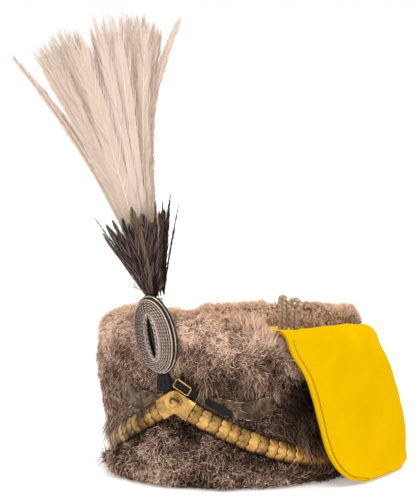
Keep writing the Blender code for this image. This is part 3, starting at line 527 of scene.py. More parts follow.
def ribbon_mesh(name, lines, sides, colour_name, colours, shades):
    """Ribbons that end in a point, with a colour and a shade at each step.

    lines and sides are arrays of count x steps x 3.
    """
    count, steps = lines.shape[:2]
    pairs = steps - 1
    left = lines[:, :pairs] - sides[:, :pairs]
    right = lines[:, :pairs] + sides[:, :pairs]
    body = np.stack([left, right], axis=2).reshape(count, pairs * 2, 3)
    points = np.concatenate([body, lines[:, -1:]], axis=1)
    per = pairs * 2 + 1
    one = []
    for step in range(pairs - 1):
        one += [2 * step, 2 * step + 1, 2 * step + 3, 2 * step + 2]
    one += [2 * pairs - 2, 2 * pairs - 1, 2 * pairs]
    one = np.array(one)
    corners = (np.arange(count)[:, None] * per + one[None, :]).ravel()
    sizes = np.tile([4] * (pairs - 1) + [3], count)
    mesh = fill_mesh(name, points.reshape(-1, 3), sizes, corners)

    def to_points(values):
        paired = np.repeat(values[:, :pairs], 2, axis=1)
        return np.concatenate([paired, values[:, -1:]], axis=1)

    rgb = to_points(colours).reshape(-1, 3)
    attribute = mesh.attributes.new(colour_name, "FLOAT_COLOR", "POINT")
    rgba = np.concatenate([rgb, np.ones((len(rgb), 1))], axis=1)
    attribute.data.foreach_set("color", rgba.astype(np.float32).ravel())
    uv = to_points(shades).reshape(-1, 2)[corners]
    layer = mesh.uv_layers.new(name="OFBake")
    layer.uv.foreach_set("vector", uv.astype(np.float32).ravel())
    return mesh


def grid_mesh(name, rows, closed=False):
    """A surface through rows of as many points each, an array of rows x columns x 3."""
    rows = np.asarray(rows, float)
    count, width = rows.shape[:2]
    quads = []
    for row in range(count - 1 + closed):
        after = (row + 1) % count
        for column in range(width - 1):
            quads.append((row * width + column, row * width + column + 1,
                          after * width + column + 1, after * width + column))
    mesh = bpy.data.meshes.new(name)
    mesh.from_pydata([tuple(p) for p in rows.reshape(-1, 3)], [], quads)
    return mesh


def tubes_mesh(name, tubes):
    """Tubes of round rings: each tube is (rings x sides x 3 array, closed)."""
    points = []
    faces = []
    for rings, closed in tubes:
        base = len(points)
        count, sides = rings.shape[:2]
        points.extend(map(tuple, rings.reshape(-1, 3)))
        for ring in range(count - 1 + closed):
            after = (ring + 1) % count
            for side in range(sides):
                beside = (side + 1) % sides
                faces.append((base + ring * sides + side, base + ring * sides + beside,
                              base + after * sides + beside, base + after * sides + side))
        if not closed:
            faces.append(tuple(base + side for side in range(sides))[::-1])
            faces.append(tuple(base + (count - 1) * sides + side for side in range(sides)))
    mesh = bpy.data.meshes.new(name)
    mesh.from_pydata(points, [], faces)
    return mesh


def tube_rings(path, radii, sides, closed, up):
    """Round sections along a path, turned from one steady direction."""
    path = np.asarray(path, float)
    if closed:
        ahead = np.roll(path, -1, axis=0) - np.roll(path, 1, axis=0)
    else:
        ahead = np.gradient(path, axis=0)
    ahead = unit(ahead)
    up = np.broadcast_to(np.asarray(up, float), path.shape)
    across = unit(np.cross(ahead, up))
    over = np.cross(across, ahead)
    turns = 2.0 * pi * np.arange(sides) / sides
    radii = np.broadcast_to(np.asarray(radii, float), (len(path),))[:, None, None]
    return path[:, None] + radii * (
        across[:, None] * np.cos(turns)[None, :, None] + over[:, None] * np.sin(turns)[None, :, None]
    )


def even_path(path, step, closed):
    """The same line with its points about a step apart."""
    path = np.asarray(path, float)
    if closed:
        path = np.concatenate([path, path[:1]])
    lengths = np.concatenate(([0.0], np.cumsum(np.linalg.norm(np.diff(path, axis=0), axis=1))))
    count = max(int(round(lengths[-1] / step)), 4)
    places = np.linspace(0.0, lengths[-1], count + 1)
    if closed:
        places = places[:-1]
    return np.stack([np.interp(places, lengths, path[:, i]) for i in range(3)], axis=1), lengths[-1]


def twisted_cord(path, radius, pitch, up, closed, strands=2, sides=5):
    """Strands laid round each other along a path, as tubes."""
    path, length = even_path(path, pitch / 8.0, closed)
    turns_in_all = max(round(length / pitch), 1)
    if closed:
        ahead = np.roll(path, -1, axis=0) - np.roll(path, 1, axis=0)
        share = np.arange(len(path)) / len(path)
    else:
        ahead = np.gradient(path, axis=0)
        share = np.arange(len(path)) / (len(path) - 1)
    ahead = unit(ahead)
    up = np.broadcast_to(np.asarray(up, float), path.shape)
    across = unit(np.cross(ahead, up))
    over = np.cross(across, ahead)
    strand_radius = radius * (0.56 if strands == 2 else 0.5)
    offset = radius - strand_radius
    tubes = []
    for strand in range(strands):
        turn = 2.0 * pi * (share * turns_in_all + strand / strands)
        middle = path + offset * (across * np.cos(turn)[:, None] + over * np.sin(turn)[:, None])
        tubes.append((tube_rings(middle, strand_radius, sides, closed, over), closed))
    return tubes


# Places on the shell


def wall_point(angle, depth, height):
    """A point outside the shell by a depth, at an angle in degrees from +X."""
    turn = radians(angle)
    return Vector((
        (SHELL_HALF_WIDTH + depth) * cos(turn),
        (SHELL_HALF_LENGTH + depth) * sin(turn),
        height,
    ))


def wall_normal(angle):
    turn = radians(angle)
    return Vector((cos(turn) / SHELL_HALF_WIDTH, sin(turn) / SHELL_HALF_LENGTH, 0.0)).normalized()


def shell_depth(points):
    """How far points lie outside the shell's oval."""
    depth = np.zeros(len(points))
    x2 = points[:, 0] ** 2
    y2 = points[:, 1] ** 2
    for _ in range(8):
        a = SHELL_HALF_WIDTH + depth
        b = SHELL_HALF_LENGTH + depth
        value = x2 / a ** 2 + y2 / b ** 2 - 1.0
        slope = -2.0 * (x2 / a ** 3 + y2 / b ** 3)
        depth = np.clip(depth - value / slope, -0.07, 0.2)
    return depth


def chin_height(turn):
    share = np.minimum(np.abs(turn) / CHIN_REACH, 1.0)
    return CHIN_SIDE_HEIGHT + CHIN_RISE * (1.0 - share) ** CHIN_CURVE


# Fur


def make_hide(material):
    """The fur's skin: the solid's own shape, smoothed and drawn in by the length of the pile."""
    piece = bpy.data.objects.new("fur_hide", nodes["fur_body"].data.copy())
    bpy.context.scene.collection.objects.link(piece)
    remesh = piece.modifiers.new("even", "REMESH")
    remesh.mode = "VOXEL"
    remesh.voxel_size = VOXEL
    smooth = piece.modifiers.new("smooth", "SMOOTH")
    smooth.factor = 0.5
    smooth.iterations = 9
    bpy.context.view_layer.update()
    mesh = bpy.data.meshes.new_from_object(piece.evaluated_get(bpy.context.evaluated_depsgraph_get()))
    piece.modifiers.clear()
    piece.data = mesh
    mesh.name = "fur_hide"
    count = len(mesh.vertices)
    outer = np.empty(count * 3, np.float32)
    mesh.vertices.foreach_get("co", outer)
    outer = outer.reshape(-1, 3).astype(float)
    normals = np.empty(count * 3, np.float32)
    mesh.vertex_normals.foreach_get("vector", normals)
    normals = normals.reshape(-1, 3).astype(float)
    depth = shell_depth(outer)
    height = outer[:, 2]
    free = blend(0.001, 0.006, depth) * blend(-0.001, 0.006, height)
    rim = blend(CROWN_HEIGHT + 0.004, CROWN_HEIGHT + 0.012, height)
    lumps = 0.0021 * waves(outer, 0.042, 11) + 0.0011 * waves(outer, 0.018, 12)
    outer = outer + normals * (lumps * np.maximum(free * blend(0.006, 0.014, depth), rim * 0.7))[:, None]
    pull = PILE * np.maximum(free * np.clip(depth / 0.012, 0.25, 1.0), rim * 0.55)
    inner = outer - normals * pull[:, None]
    inner[:, 2] = np.maximum(inner[:, 2], HIDE_FLOOR)
    mesh.vertices.foreach_set("co", inner.astype(np.float32).ravel())
    mesh.update()
    mesh.materials.clear()
    mesh.materials.append(material)
    mesh.shade_smooth()
    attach(piece, "root")
    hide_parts("fur_body")
    return piece, outer, inner, normals, depth, lumps


# Share of the strands that may lie over each fitting; the rest of them were brushed aside
OVER_FITTING = (
    ("thin_strap", 0.45),
    ("cockade_tongue", 0.15),
    ("chin_leather", 0.30),
    ("scale", 0.05),
    ("end_plate", 0.02),
    ("bag", 0.03),
    ("cockade", 0.03),
)
BADGE_COVER = 0.92
BADGE_LIP = 0.0775
FAR_SCALE_TURN = 50.0
FAR_STRAP_TURN = 9.0


def fittings_tree():
    """What lies on the fur, as one tree for rays, and the share of fur that may cover each face."""
    points = []
    faces = []
    cover = []
    for name, node in nodes.items():
        if name in ("fur_body", "loop_round", "loop_upright", "plume_white"):
            continue
        share = BADGE_COVER if name == "badge_scroll" else 0.05
        for start, allowed in OVER_FITTING:
            if name.startswith(start):
                share = allowed
                break
        base = len(points)
        points.extend(v.co.copy() for v in node.data.vertices)
        for polygon in node.data.polygons:
            faces.append([base + i for i in polygon.vertices])
            middle = polygon.center
            here = share
            angle = np.degrees(np.arctan2(middle.y / SHELL_HALF_LENGTH, middle.x / SHELL_HALF_WIDTH))
            turn = abs(angle - JOINT_ANGLE)
            if name.startswith(("scale", "chin")) and turn > FAR_SCALE_TURN:
                here = 1.0
            if name == "thin_strap" and turn > FAR_STRAP_TURN:
                here = 0.95
            if name == "bag" and middle.y < -0.054 and middle.z > 0.094:
                here = 0.75
            cover.append(here)
    return BVHTree.FromPolygons(points, faces), cover


PALETTE = (
    # share, red, green, blue
    (0.00, 0.008, 0.005, 0.0035),
    (0.20, 0.034, 0.019, 0.013),
    (0.45, 0.162, 0.092, 0.061),
    (0.70, 0.450, 0.276, 0.192),
    (1.00, 0.980, 0.730, 0.560),
)


def fur_colours(tone, along):
    """Colour of a strand by its tone and the share of its length, dark at the root."""
    table = np.array(PALETTE)
    shade = np.clip(tone * (0.52 + 0.50 * along ** 0.7), 0.0, 1.0)
    return np.stack([np.interp(shade, table[:, 0], table[:, i]) for i in (1, 2, 3)], axis=-1)


def fur_tone(points):
    """Tone of the fur by place: painted light round the rim and towards the top, painted shade low down and
    in the hollows, under the strap, round the buckle, beside the bag and below the joint.
    """
    angle = np.degrees(np.arctan2(points[:, 1] / SHELL_HALF_LENGTH, points[:, 0] / SHELL_HALF_WIDTH))
    turn = (angle - JOINT_ANGLE + 180.0) % 360.0 - 180.0
    height = points[:, 2]
    middle = chin_height(turn)
    upper = blend(-0.004, 0.010, height - middle)
    tone = mix(0.56, 0.52, upper)
    # Painted light: the fur is lighter the higher it stands and round the near rim, where the light falls
    # from above.
    tone += 0.16 * blend(0.070, 0.104, height) + 0.20 * blend(0.104, 0.122, height)
    tone += 0.12 * blend(0.094, 0.110, height) * (1.0 - blend(80.0, 110.0, np.abs(turn)))
    tone += 0.06 * blend(-25.0, -50.0, turn) * blend(-150.0, -110.0, turn)
    tone += 0.14 * blend(-20.0, -75.0, turn) * blend(-150.0, -110.0, turn) * upper
    tone += 0.02 * blend(100.0, 150.0, np.abs(turn))
    # Painted shade: darker under the strap, round the buckle, in the bag's shadow and in the pit below the
    # joint.
    below = middle - 0.011 - height
    shade_under_strap = np.exp(-(below / 0.009) ** 2) * (np.abs(turn) < CHIN_REACH)
    tone -= 0.26 * shade_under_strap
    buckle = np.exp(-((turn - 6.0) / 9.0) ** 2 - ((height - 0.082) / 0.007) ** 2)
    shadow = np.exp(-((turn - 60.0) / 13.0) ** 2 - ((height - 0.060) / 0.026) ** 2)
    pit = np.exp(-((turn - 7.0) / 9.0) ** 2 - ((height - 0.040) / 0.012) ** 2)
    tone -= 0.24 * buckle + 0.58 * shadow + 0.26 * pit
    tone += 0.09 * blend(-20.0, -50.0, turn) * blend(-150.0, -110.0, turn) * (1.0 - upper)
    tone += (0.06 * waves(points, 0.055, 3) + 0.07 * waves(points, 0.024, 4)) * mix(1.5, 1.0, upper)
    return tone


# The two coats
COATS = (
    # name, strands, shortest and longest reach, lowest and highest lift, width, pull towards the clump,
    # swing of the clump and of the single strand, and how many points a strand has
    ("fur", 148000, 0.0016, 0.0046, -0.0026, 0.0008, 0.00052, 0.40, 0.9, 0.7, 3),
    ("hair", 42000, 0.0040, 0.0088, -0.0004, 0.0032, 0.00042, 0.12, 0.4, 0.9, 4),
)
LIGHT_HAIRS = 0.62
STRAND_FLOOR = 0.0006
# Share of the length and of the width at each point of a strand, by how many points it has
STRAND_SHAPES = {
    3: ((0.35, 0.80, 1.0), (1.0, 0.9, 0.0)),
    4: ((0.0, 0.45, 0.8, 1.0), (0.9, 1.0, 0.8, 0.0)),
}


def strap_height(turn):
    """Height of the thin strap at a turn from the joint, as a line through its solid."""
    points = np.array([v.co for v in nodes["thin_strap"].data.vertices])
    angle = np.degrees(np.arctan2(points[:, 1] / SHELL_HALF_LENGTH, points[:, 0] / SHELL_HALF_WIDTH))
    return np.polyval(np.polyfit(angle - JOINT_ANGLE, points[:, 2], 2), turn)


def choose_places(skin, count, rng):
    """Random places on the hide, by area: root, top of the pile, normal, depth and swell of each."""
    mesh, outer, inner, normals, depth, lumps = skin
    mesh.calc_loop_triangles()
    triangles = np.empty(len(mesh.loop_triangles) * 3, np.int32)
    mesh.loop_triangles.foreach_get("vertices", triangles)
    triangles = triangles.reshape(-1, 3)
    corners = outer[triangles]
    areas = np.linalg.norm(np.cross(corners[:, 1] - corners[:, 0], corners[:, 2] - corners[:, 0]), axis=1)
    middle = corners.mean(axis=1)
    middle_depth = depth[triangles].mean(axis=1)
    facing = unit(normals[triangles].mean(axis=1))
    grows = (middle_depth > 0.001) & (middle[:, 2] > 0.0015)
    grows |= (middle[:, 2] > CROWN_HEIGHT + 0.004) & (middle_depth > -0.006)
    grows &= ~((facing[:, 2] < -0.85) & (middle[:, 2] < 0.004))
    areas = areas * grows
    chosen = rng.choice(len(triangles), count, p=areas / areas.sum())
    share = rng.random((count, 2))
    over = share.sum(axis=1) > 1.0
    share[over] = 1.0 - share[over]
    weights = np.column_stack([1.0 - share.sum(axis=1), share])[:, :, None]
    picked = triangles[chosen]
    root = (inner[picked] * weights).sum(axis=1)
    top = (outer[picked] * weights).sum(axis=1)
    normal = unit((normals[picked] * weights).sum(axis=1))
    place_depth = (depth[picked] * weights[:, :, 0]).sum(axis=1)
    swell = (lumps[picked] * weights[:, :, 0]).sum(axis=1)
    return root, top, normal, place_depth, swell


def gather_clumps(top, rng):
    """The clump of each strand, and the strand in the middle of that clump."""
    middles = rng.choice(len(top), CLUMPS, replace=False)
    clumps = KDTree(CLUMPS)
    for number, place in enumerate(top[middles]):
        clumps.insert(place, number)
    clumps.balance()
    clump = np.array([clumps.find(place)[1] for place in top])
    return clump, middles[clump]


def fur_zones(top, depth):
    """Where strands behave in another way, as shares of 0 to 1, and the height above the scales' line."""
    angle = np.degrees(np.arctan2(top[:, 1] / SHELL_HALF_LENGTH, top[:, 0] / SHELL_HALF_WIDTH))
    turn = np.abs((angle - JOINT_ANGLE + 180.0) % 360.0 - 180.0)
    above = top[:, 2] - chin_height(turn)
    near = 1.0 - blend(76.0, 90.0, turn)
    far = blend(42.0, 52.0, turn) * near
    lip = mix(BADGE_LIP, chin_height(turn) + 0.019, blend(44.0, 56.0, turn))
    hangs = np.exp(-((top[:, 2] - lip - 0.003) / 0.005) ** 2) * blend(0.013, 0.018, depth)
    hangs = mix(hangs, np.exp(-((above - 0.015) / 0.009) ** 2) * blend(0.003, 0.008, depth), far) * near
    stands = np.exp(-((above + 0.012) / 0.005) ** 2) * near
    crest = blend(CROWN_HEIGHT + 0.006, CROWN_HEIGHT + 0.018, top[:, 2])
    corner = np.exp(-((angle + 44.0) / 12.0) ** 2) + 0.40 * np.exp(-((angle - 50.0) / 9.0) ** 2)
    corner *= blend(CROWN_HEIGHT - 0.008, CROWN_HEIGHT + 0.001, top[:, 2])
    strap = top[:, 2] - strap_height(turn)
    veil = np.exp(-((strap - 0.003) / 0.006) ** 2) * np.exp(-((angle - JOINT_ANGLE - 19.0) / 9.0) ** 2)
    return above, far, hangs, stands, crest, corner, veil


def give_way(root, tip, normal, tree, cover, roll):
    """Which strands stay, and how far each is shortened, where something lies on the fur."""
    count = len(root)
    keep = np.ones(count, bool)
    shorten = np.ones(count)
    for number in range(count):
        start = Vector(root[number])
        ray = Vector(tip[number]) - start
        length = ray.length
        if length < 1e-6:
            keep[number] = False
            continue
        place, _, face, distance = tree.ray_cast(start, ray / length, length + 0.001)
        if place is not None:
            if distance < 0.002:
                keep[number] = False
            elif roll[number] > cover[face]:
                shorten[number] = distance / length * 0.82
            continue
        if normal[number, 2] > 0.6:
            continue
        place, _, face, distance = tree.ray_cast(Vector(tip[number]), -Vector(normal[number]), 0.010)
        if place is not None and roll[number] > cover[face]:
            keep[number] = False
    return keep, shorten


def grow_coat(skin, tree, cover, coat, seed):
    """Lines, widths, colours and sectors of one coat of strands on the hide."""
    name, count, shortest, longest, lowest, highest, thick, pull, clump_swing, own_swing, steps = coat
    rng = np.random.default_rng(seed)
    root, top, normal, place_depth, swell = choose_places(skin, count, rng)
    clump, owner = gather_clumps(top, rng)
    above, far, hangs, stands, crest, corner, veil = fur_zones(top, place_depth)

    # The lay of the fur: down the sides, outwards over the rim, swirled by slow waves
    down = np.array([0.0, 0.0, -1.0])
    outward = unit(top * np.array([1.0, 1.0, 0.0]))
    over_rim = blend(0.10, 0.75, normal[:, 2])[:, None]
    lay = down * (1.0 - over_rim) + outward * over_rim
    lay = unit(lay - normal * dot(lay, normal))
    across = np.cross(normal, lay)
    swing = 0.7 * waves(top, 0.034, 21)
    swing += clump_swing * rng.normal(0.0, 1.0, CLUMPS)[clump] + own_swing * rng.normal(0.0, 1.0, count)
    swing *= 1.0 - 0.7 * hangs
    swing += pi * (stands > 0.3) * (rng.random(count) < 0.5 + 0.4 * far)
    lay = lay * np.cos(swing)[:, None] + across * np.sin(swing)[:, None]
    draped = (hangs * rng.uniform(0.3, 1.0, count) > 0.35)[:, None]
    outwards = rng.uniform(-0.05, 0.35, count) + 0.25 * far
    lean = down + outward * outwards[:, None] + across * rng.normal(0.0, 0.30, (count, 1))
    lay = np.where(draped, unit(lean), lay)
    across = np.cross(normal, lay)

    # Tips: longer strands hang over the strap's far part, and stand on the rim
    reach = rng.uniform(shortest, longest, count)
    reach += hangs * (rng.uniform(0.001, 0.008, count) + far * rng.uniform(0.004, 0.018, count))
    reach += stands * far * rng.uniform(0.003, 0.014, count)
    lift = rng.uniform(lowest, highest, count) + rng.normal(0.0, 0.0006, CLUMPS)[clump]
    reach += veil * rng.uniform(0.002, 0.007, count)
    lift += crest * rng.uniform(-0.0005, 0.0026, count) + veil * rng.uniform(0.002, 0.0045, count)
    lift += far * stands * rng.uniform(0.002, 0.008, count)
    tip = top + lay * reach[:, None] + normal * lift[:, None]
    tip[:, 2] += corner * rng.uniform(0.002, 0.015, count)
    pulled = top[owner] + lay[owner] * (shortest + longest) * 0.5
    tip = tip + (pulled - tip) * (pull * rng.uniform(0.3, 1.7, count))[:, None]
    curl = (rng.normal(0.0, 0.0009, count) + rng.normal(0.0, 0.0006, CLUMPS)[clump])[:, None]

    # Fur gives way to what lies on it
    keep, shorten = give_way(root, tip, normal, tree, cover, rng.random(count))
    tip = root + (tip - root) * shorten[:, None]
    tip[:, 2] = np.maximum(tip[:, 2], STRAND_FLOOR)

    # The strand's own line and flat side
    start = root + (top - root) * 0.25
    first = root + (top - root) * 0.80 * shorten[:, None]
    second = mix(first, tip, 0.55) + across * curl + normal * 0.0008
    tip = tip - across * curl * 0.8
    tip[:, 2] = np.maximum(tip[:, 2], STRAND_FLOOR)
    along, profile = map(np.array, STRAND_SHAPES[steps])
    lines = np.stack([start, first, second, tip][4 - steps:], axis=1)
    lines[:, :, 2] = np.maximum(lines[:, :, 2], STRAND_FLOOR)
    ahead = unit(tip - start)
    flat = unit(np.cross(ahead, normal))
    edge = np.cross(ahead, flat)
    tilt = rng.normal(0.0, 0.6, count)[:, None]
    side = flat * np.cos(tilt) + edge * np.sin(tilt)
    width = thick * 0.5 * rng.uniform(0.65, 1.35, count)
    sides = side[:, None] * width[:, None, None] * profile[None, :, None]

    # Tone by place, by clump and by strand, with painted shade in the dips between the lumps and painted
    # light on their tops
    tone = fur_tone(top) + swell * 36.0 + rng.normal(0.0, 0.05, CLUMPS)[clump]
    contrast = 1.0 - 0.7 * crest + 0.45 * blend(0.0, -0.012, above)
    if name == "hair":
        own = np.where(rng.random(count) < LIGHT_HAIRS, 0.20, -0.24)
    else:
        own = np.where(rng.random(count) < 0.5, 0.05, -0.15)
    tone = np.clip(tone + own * contrast + rng.normal(0.0, 0.06, count), 0.02, 1.0)
    along = along[None, :].repeat(count, axis=0)
    tones = tone[:, None].repeat(steps, axis=1)
    turns = np.degrees(np.arctan2(top[:, 1], top[:, 0])) % 360.0
    sector = (turns * FUR_SECTORS / 360.0).astype(int)
    return lines, sides, fur_colours(tones, along), np.stack([tones, along], axis=-1), keep, sector


def make_fur(material):
    hide, outer, inner, normals, depth, lumps = make_hide(hide_material())
    tree, cover = fittings_tree()
    skin = (hide.data, outer, inner, normals, depth, lumps)
    for seed, coat in enumerate(COATS):
        lines, sides, colours, shades, keep, sector = grow_coat(skin, tree, cover, coat, 7 + seed)
        for number in range(FUR_SECTORS):
            here = keep & (sector == number)
            name = "%s_%d" % (coat[0], number + 1)
            mesh = ribbon_mesh(name, lines[here], sides[here], "fur_colour", colours[here], shades[here])
            link(name, mesh, material, smooth=False)


# Plume

# Long white feathers: side and forward reach of the tip, its height, all as shares of the length,
# half width in metres, bow of the middle to the side as a share, and how warm the feather is
WHITE_FEATHERS = (
    # side, forward, height, half width, bow, warmth
    (-0.37, 0.02, 0.90, 0.0026, 0.030, 0.55),
    (-0.40, -0.03, 0.87, 0.0028, 0.045, 0.45),
    (-0.25, 0.03, 0.89, 0.0065, 0.015, 0.60),
    (-0.28, -0.05, 0.88, 0.0080, 0.010, 0.35),
    (-0.18, 0.05, 0.90, 0.0085, 0.008, 0.60),
    (-0.19, -0.02, 0.91, 0.0095, 0.004, 0.30),
    (-0.11, 0.04, 0.91, 0.0090, 0.002, 0.55),
    (-0.15, -0.05, 0.90, 0.0095, 0.000, 0.40),
    (-0.05, 0.06, 0.89, 0.0095, 0.004, 0.50),
    (-0.06, 0.02, 0.85, 0.0090, 0.010, 0.35),
    (-0.04, -0.02, 0.92, 0.0075, 0.000, 0.45),
    (0.04, 0.05, 0.94, 0.0105, 0.000, 0.20),
    (-0.01, -0.06, 0.89, 0.0100, 0.000, 0.60),
    (0.11, 0.06, 0.94, 0.0110, 0.000, 0.30),
    (0.07, -0.05, 0.91, 0.0100, -0.004, 0.50),
    (0.15, 0.03, 0.93, 0.0095, -0.008, 0.25),
    (0.13, -0.04, 0.93, 0.0085, -0.012, 0.55),
    (0.21, 0.05, 0.93, 0.0075, -0.014, 0.30),
    (0.18, -0.02, 0.92, 0.0065, -0.018, 0.45),
    (0.23, 0.03, 0.92, 0.0055, -0.022, 0.35),
    (0.19, -0.05, 0.90, 0.0050, -0.026, 0.55),
    (0.16, 0.02, 0.70, 0.0060, -0.020, 0.55),
    (0.32, 0.01, 0.95, 0.0036, -0.070, 0.40),
)


def plume_matrix():
    lean = Matrix.Rotation(PLUME_LEAN_FORWARD, 4, "X") @ Matrix.Rotation(-PLUME_LEAN_RIGHT, 4, "Y")
    return np.array(Matrix.Translation(PLUME_FOOT) @ lean)


def to_cap(points):
    """Points of the plume's frame in the cap's frame."""
    matrix = plume_matrix()
    return points @ matrix[:3, :3].T + matrix[:3, 3]


class Plumage:
    """Collects the shafts, vanes and barbs of many feathers."""

    def __init__(self, seed):
        self.rng = np.random.default_rng(seed)
        self.lines = []
        self.sides = []
        self.colours = []
        self.shades = []
        self.shafts = []
        self.vanes = []

    def feather(self, path, face, half_width, colour, shaft, spacing, barb_width, ragged, profile,
                spread, vane=0.0):
        """One feather along a path.

        face is the direction of its width, and profile its half width by share of its length.
        """
        rng = self.rng
        path, length = even_path(path, 0.004, False)
        shares = np.linspace(0.0, 1.0, len(path))
        ahead = unit(np.gradient(path, axis=0))
        across = unit(face - ahead * dot(ahead, face))
        normal = np.cross(across, ahead)
        radii = shaft * (1.0 - 0.82 * shares)
        self.shafts.append((tube_rings(path, radii, 5, False, normal), False))
        if vane:
            self.add_vane(path, across, normal, shares, half_width * vane, profile, colour)
        count = int(length / spacing)
        for hand in (-1.0, 1.0):
            place = np.sort(rng.random(count))
            middle = np.stack([np.interp(place, shares, path[:, i]) for i in range(3)], axis=1)
            forward = unit(np.stack([np.interp(place, shares, ahead[:, i]) for i in range(3)], axis=1))
            out = unit(np.stack([np.interp(place, shares, across[:, i]) for i in range(3)], axis=1)) * hand
            above = unit(np.stack([np.interp(place, shares, normal[:, i]) for i in range(3)], axis=1))
            wide = half_width * np.interp(place, profile[0], profile[1])
            split = 1.0 + 0.08 * np.sin(place * length / 0.005 + rng.uniform(0, 6.28))
            reach = (wide * split * rng.uniform(1.0 - ragged, 1.0 + ragged * 0.4, count))[:, None]
            lean = spread * (1.0 - 0.55 * place[:, None]) * rng.uniform(0.9, 1.1, (count, 1))
            rise = reach / np.tan(lean)
            droop = rng.normal(0.0, 0.05, (count, 1)) * reach + 0.0004 * rng.choice((-1.0, 1.0), (count, 1))
            line = np.stack([
                middle,
                middle + out * reach * 0.42 + forward * rise * 0.34 + above * droop * 0.6,
                middle + out * reach * 0.78 + forward * rise * 0.70 + above * droop * 0.8,
                middle + out * reach + forward * rise * 1.08 + above * droop,
            ], axis=1)
            along = unit(line[:, -1] - line[:, 0])
            edge = unit(np.cross(above, along))
            tilt = rng.normal(0.0, 0.25, (count, 1))
            edge = edge * np.cos(tilt) + above * np.sin(tilt)
            width = barb_width * 0.5 * rng.uniform(0.7, 1.2, (count, 1, 1))
            taper = np.array([0.9, 1.0, 0.8, 0.0])[None, :, None]
            self.lines.append(line)
            self.sides.append(edge[:, None] * width * taper)
            bunch = rng.random(int(length / BARB_BUNCH) + 2)[(place * length / BARB_BUNCH).astype(int)]
            tone = (0.20 * rng.random((count, 1)) + 0.55 * bunch[:, None] + 0.25 * rng.random())
            tones = tone.repeat(4, axis=1)
            steps = np.array([0.0, 0.4, 0.75, 1.0])[None, :].repeat(count, axis=0)
            self.colours.append(colour(tones, steps))
            self.shades.append(np.stack([tones, steps], axis=-1))

    def add_vane(self, path, across, normal, shares, half_width, profile, colour):
        """A thin web under the barbs, as two strips that meet at the shaft in a shallow trough."""
        wide = half_width * np.interp(shares, profile[0], profile[1]) * blend(0.0, 0.08, shares)
        columns = np.array([-1.0, -0.5, 0.0, 0.5, 1.0])
        rows = path[:, None] + across[:, None] * (columns[None, :] * wide[:, None])[:, :, None]
        rows = rows + normal[:, None] * (np.abs(columns)[None, :] * wide[:, None] * 0.10)[:, :, None]
        tones = np.broadcast_to(self.rng.uniform(0.1, 0.4), rows.shape[:2])
        steps = np.broadcast_to(np.abs(columns)[None, :] * 0.5, rows.shape[:2])
        self.vanes.append((rows, colour(tones, steps)))

    def build(self, name, material, shaft_material, replaced):
        mesh = ribbon_mesh(name, to_cap(np.concatenate(self.lines)),
                           np.concatenate(self.sides) @ plume_matrix()[:3, :3].T, "feather_colour",
                           np.concatenate(self.colours), np.concatenate(self.shades))
        barbs = link(name, mesh, material, smooth=False)
        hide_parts(replaced)
        tubes = [(to_cap(rings.reshape(-1, 3)).reshape(rings.shape), closed) for rings, closed in self.shafts]
        link(name + "_shafts", tubes_mesh(name + "_shafts", tubes), shaft_material)
        points = []
        corners = []
        colours = []
        base = 0
        for rows, rgb in self.vanes:
            count, width = rows.shape[:2]
            points.append(to_cap(rows.reshape(-1, 3)))
            colours.append(rgb.reshape(-1, 3))
            grid = base + np.arange(count * width).reshape(count, width)
            quads = [grid[:-1, :-1], grid[:-1, 1:], grid[1:, 1:], grid[1:, :-1]]
            corners.append(np.stack(quads, axis=-1).ravel())
            base += count * width
        if points:
            corners = np.concatenate(corners)
            vane = fill_mesh(name + "_vanes", np.concatenate(points), np.full(len(corners) // 4, 4), corners)
            rgba = np.concatenate([np.concatenate(colours), np.ones((base, 1))], axis=1)
            layer = vane.attributes.new("feather_colour", "FLOAT_COLOR", "POINT")
            layer.data.foreach_set("color", rgba.astype(np.float32).ravel())
            link(name + "_vanes", vane, material)


def blended(light, dark, contrast=0.8):
    """A colour by tone and by share of a barb's length, between two colours."""
    light = np.array(light)
    dark = np.array(dark)

    def colour(tones, steps):
        share = np.clip(0.55 + contrast * (tones - 0.5) + 0.20 * (steps - 0.5), 0.0, 1.0)[..., None]
        return dark + (light - dark) * share

    return colour


def quill_path(side, forward, height, bow):
    """The line of a long feather from the binding to its tip, in the plume's frame."""
    low = np.array([side * 0.012, -forward * 0.02, 0.006])
    start = np.array([CONE_HALF_WIDTH * 0.72 * side / 0.35, -CONE_HALF_DEPTH * 0.5 * forward / 0.07,
                      QUILL_CONE * 0.9])
    tip = np.array([side, -forward, height]) * WHITE_LENGTH
    points = []
    for share in np.linspace(0.0, 1.0, 6)[:-1]:
        points.append(low + (start - low) * share)
    for share in np.linspace(0.0, 1.0, 24):
        point = start + (tip - start) * share
        point[0] += bow * WHITE_LENGTH * 4.0 * share * (1.0 - share)
        points.append(point)
    return np.array(points)


BARB_BUNCH = 0.0028
LONG_PROFILE = ((0.0, 0.12, 0.35, 0.60, 0.82, 0.94, 1.0), (0.28, 0.58, 0.82, 1.0, 0.92, 0.66, 0.30))
SPIKE_PROFILE = ((0.0, 0.20, 0.45, 0.70, 0.90, 1.0), (0.40, 0.80, 1.0, 0.80, 0.30, 0.06))


def make_white_plume():
    plumage = Plumage(31)
    for side, forward, height, half_width, bow, warmth in WHITE_FEATHERS:
        light = np.array([0.76, 0.640, 0.558]) * (1.0 - 0.05 * warmth)
        dark = mix(np.array([0.52, 0.412, 0.338]), np.array([0.44, 0.315, 0.220]), warmth)
        face = np.array([1.0, plumage.rng.uniform(-0.25, 0.25), 0.0])
        path = quill_path(side, forward, height, bow)
        plumage.feather(path, face, half_width, blended(light, dark), 0.00080, 0.00070, 0.00052, 0.22,
                        LONG_PROFILE, spread=0.52, vane=0.74)
    plumage.build("plume_white_barbs", feather_material("white_feather", 0.65, 0.15, 0.10), shaft_material(),
                  "plume_white")


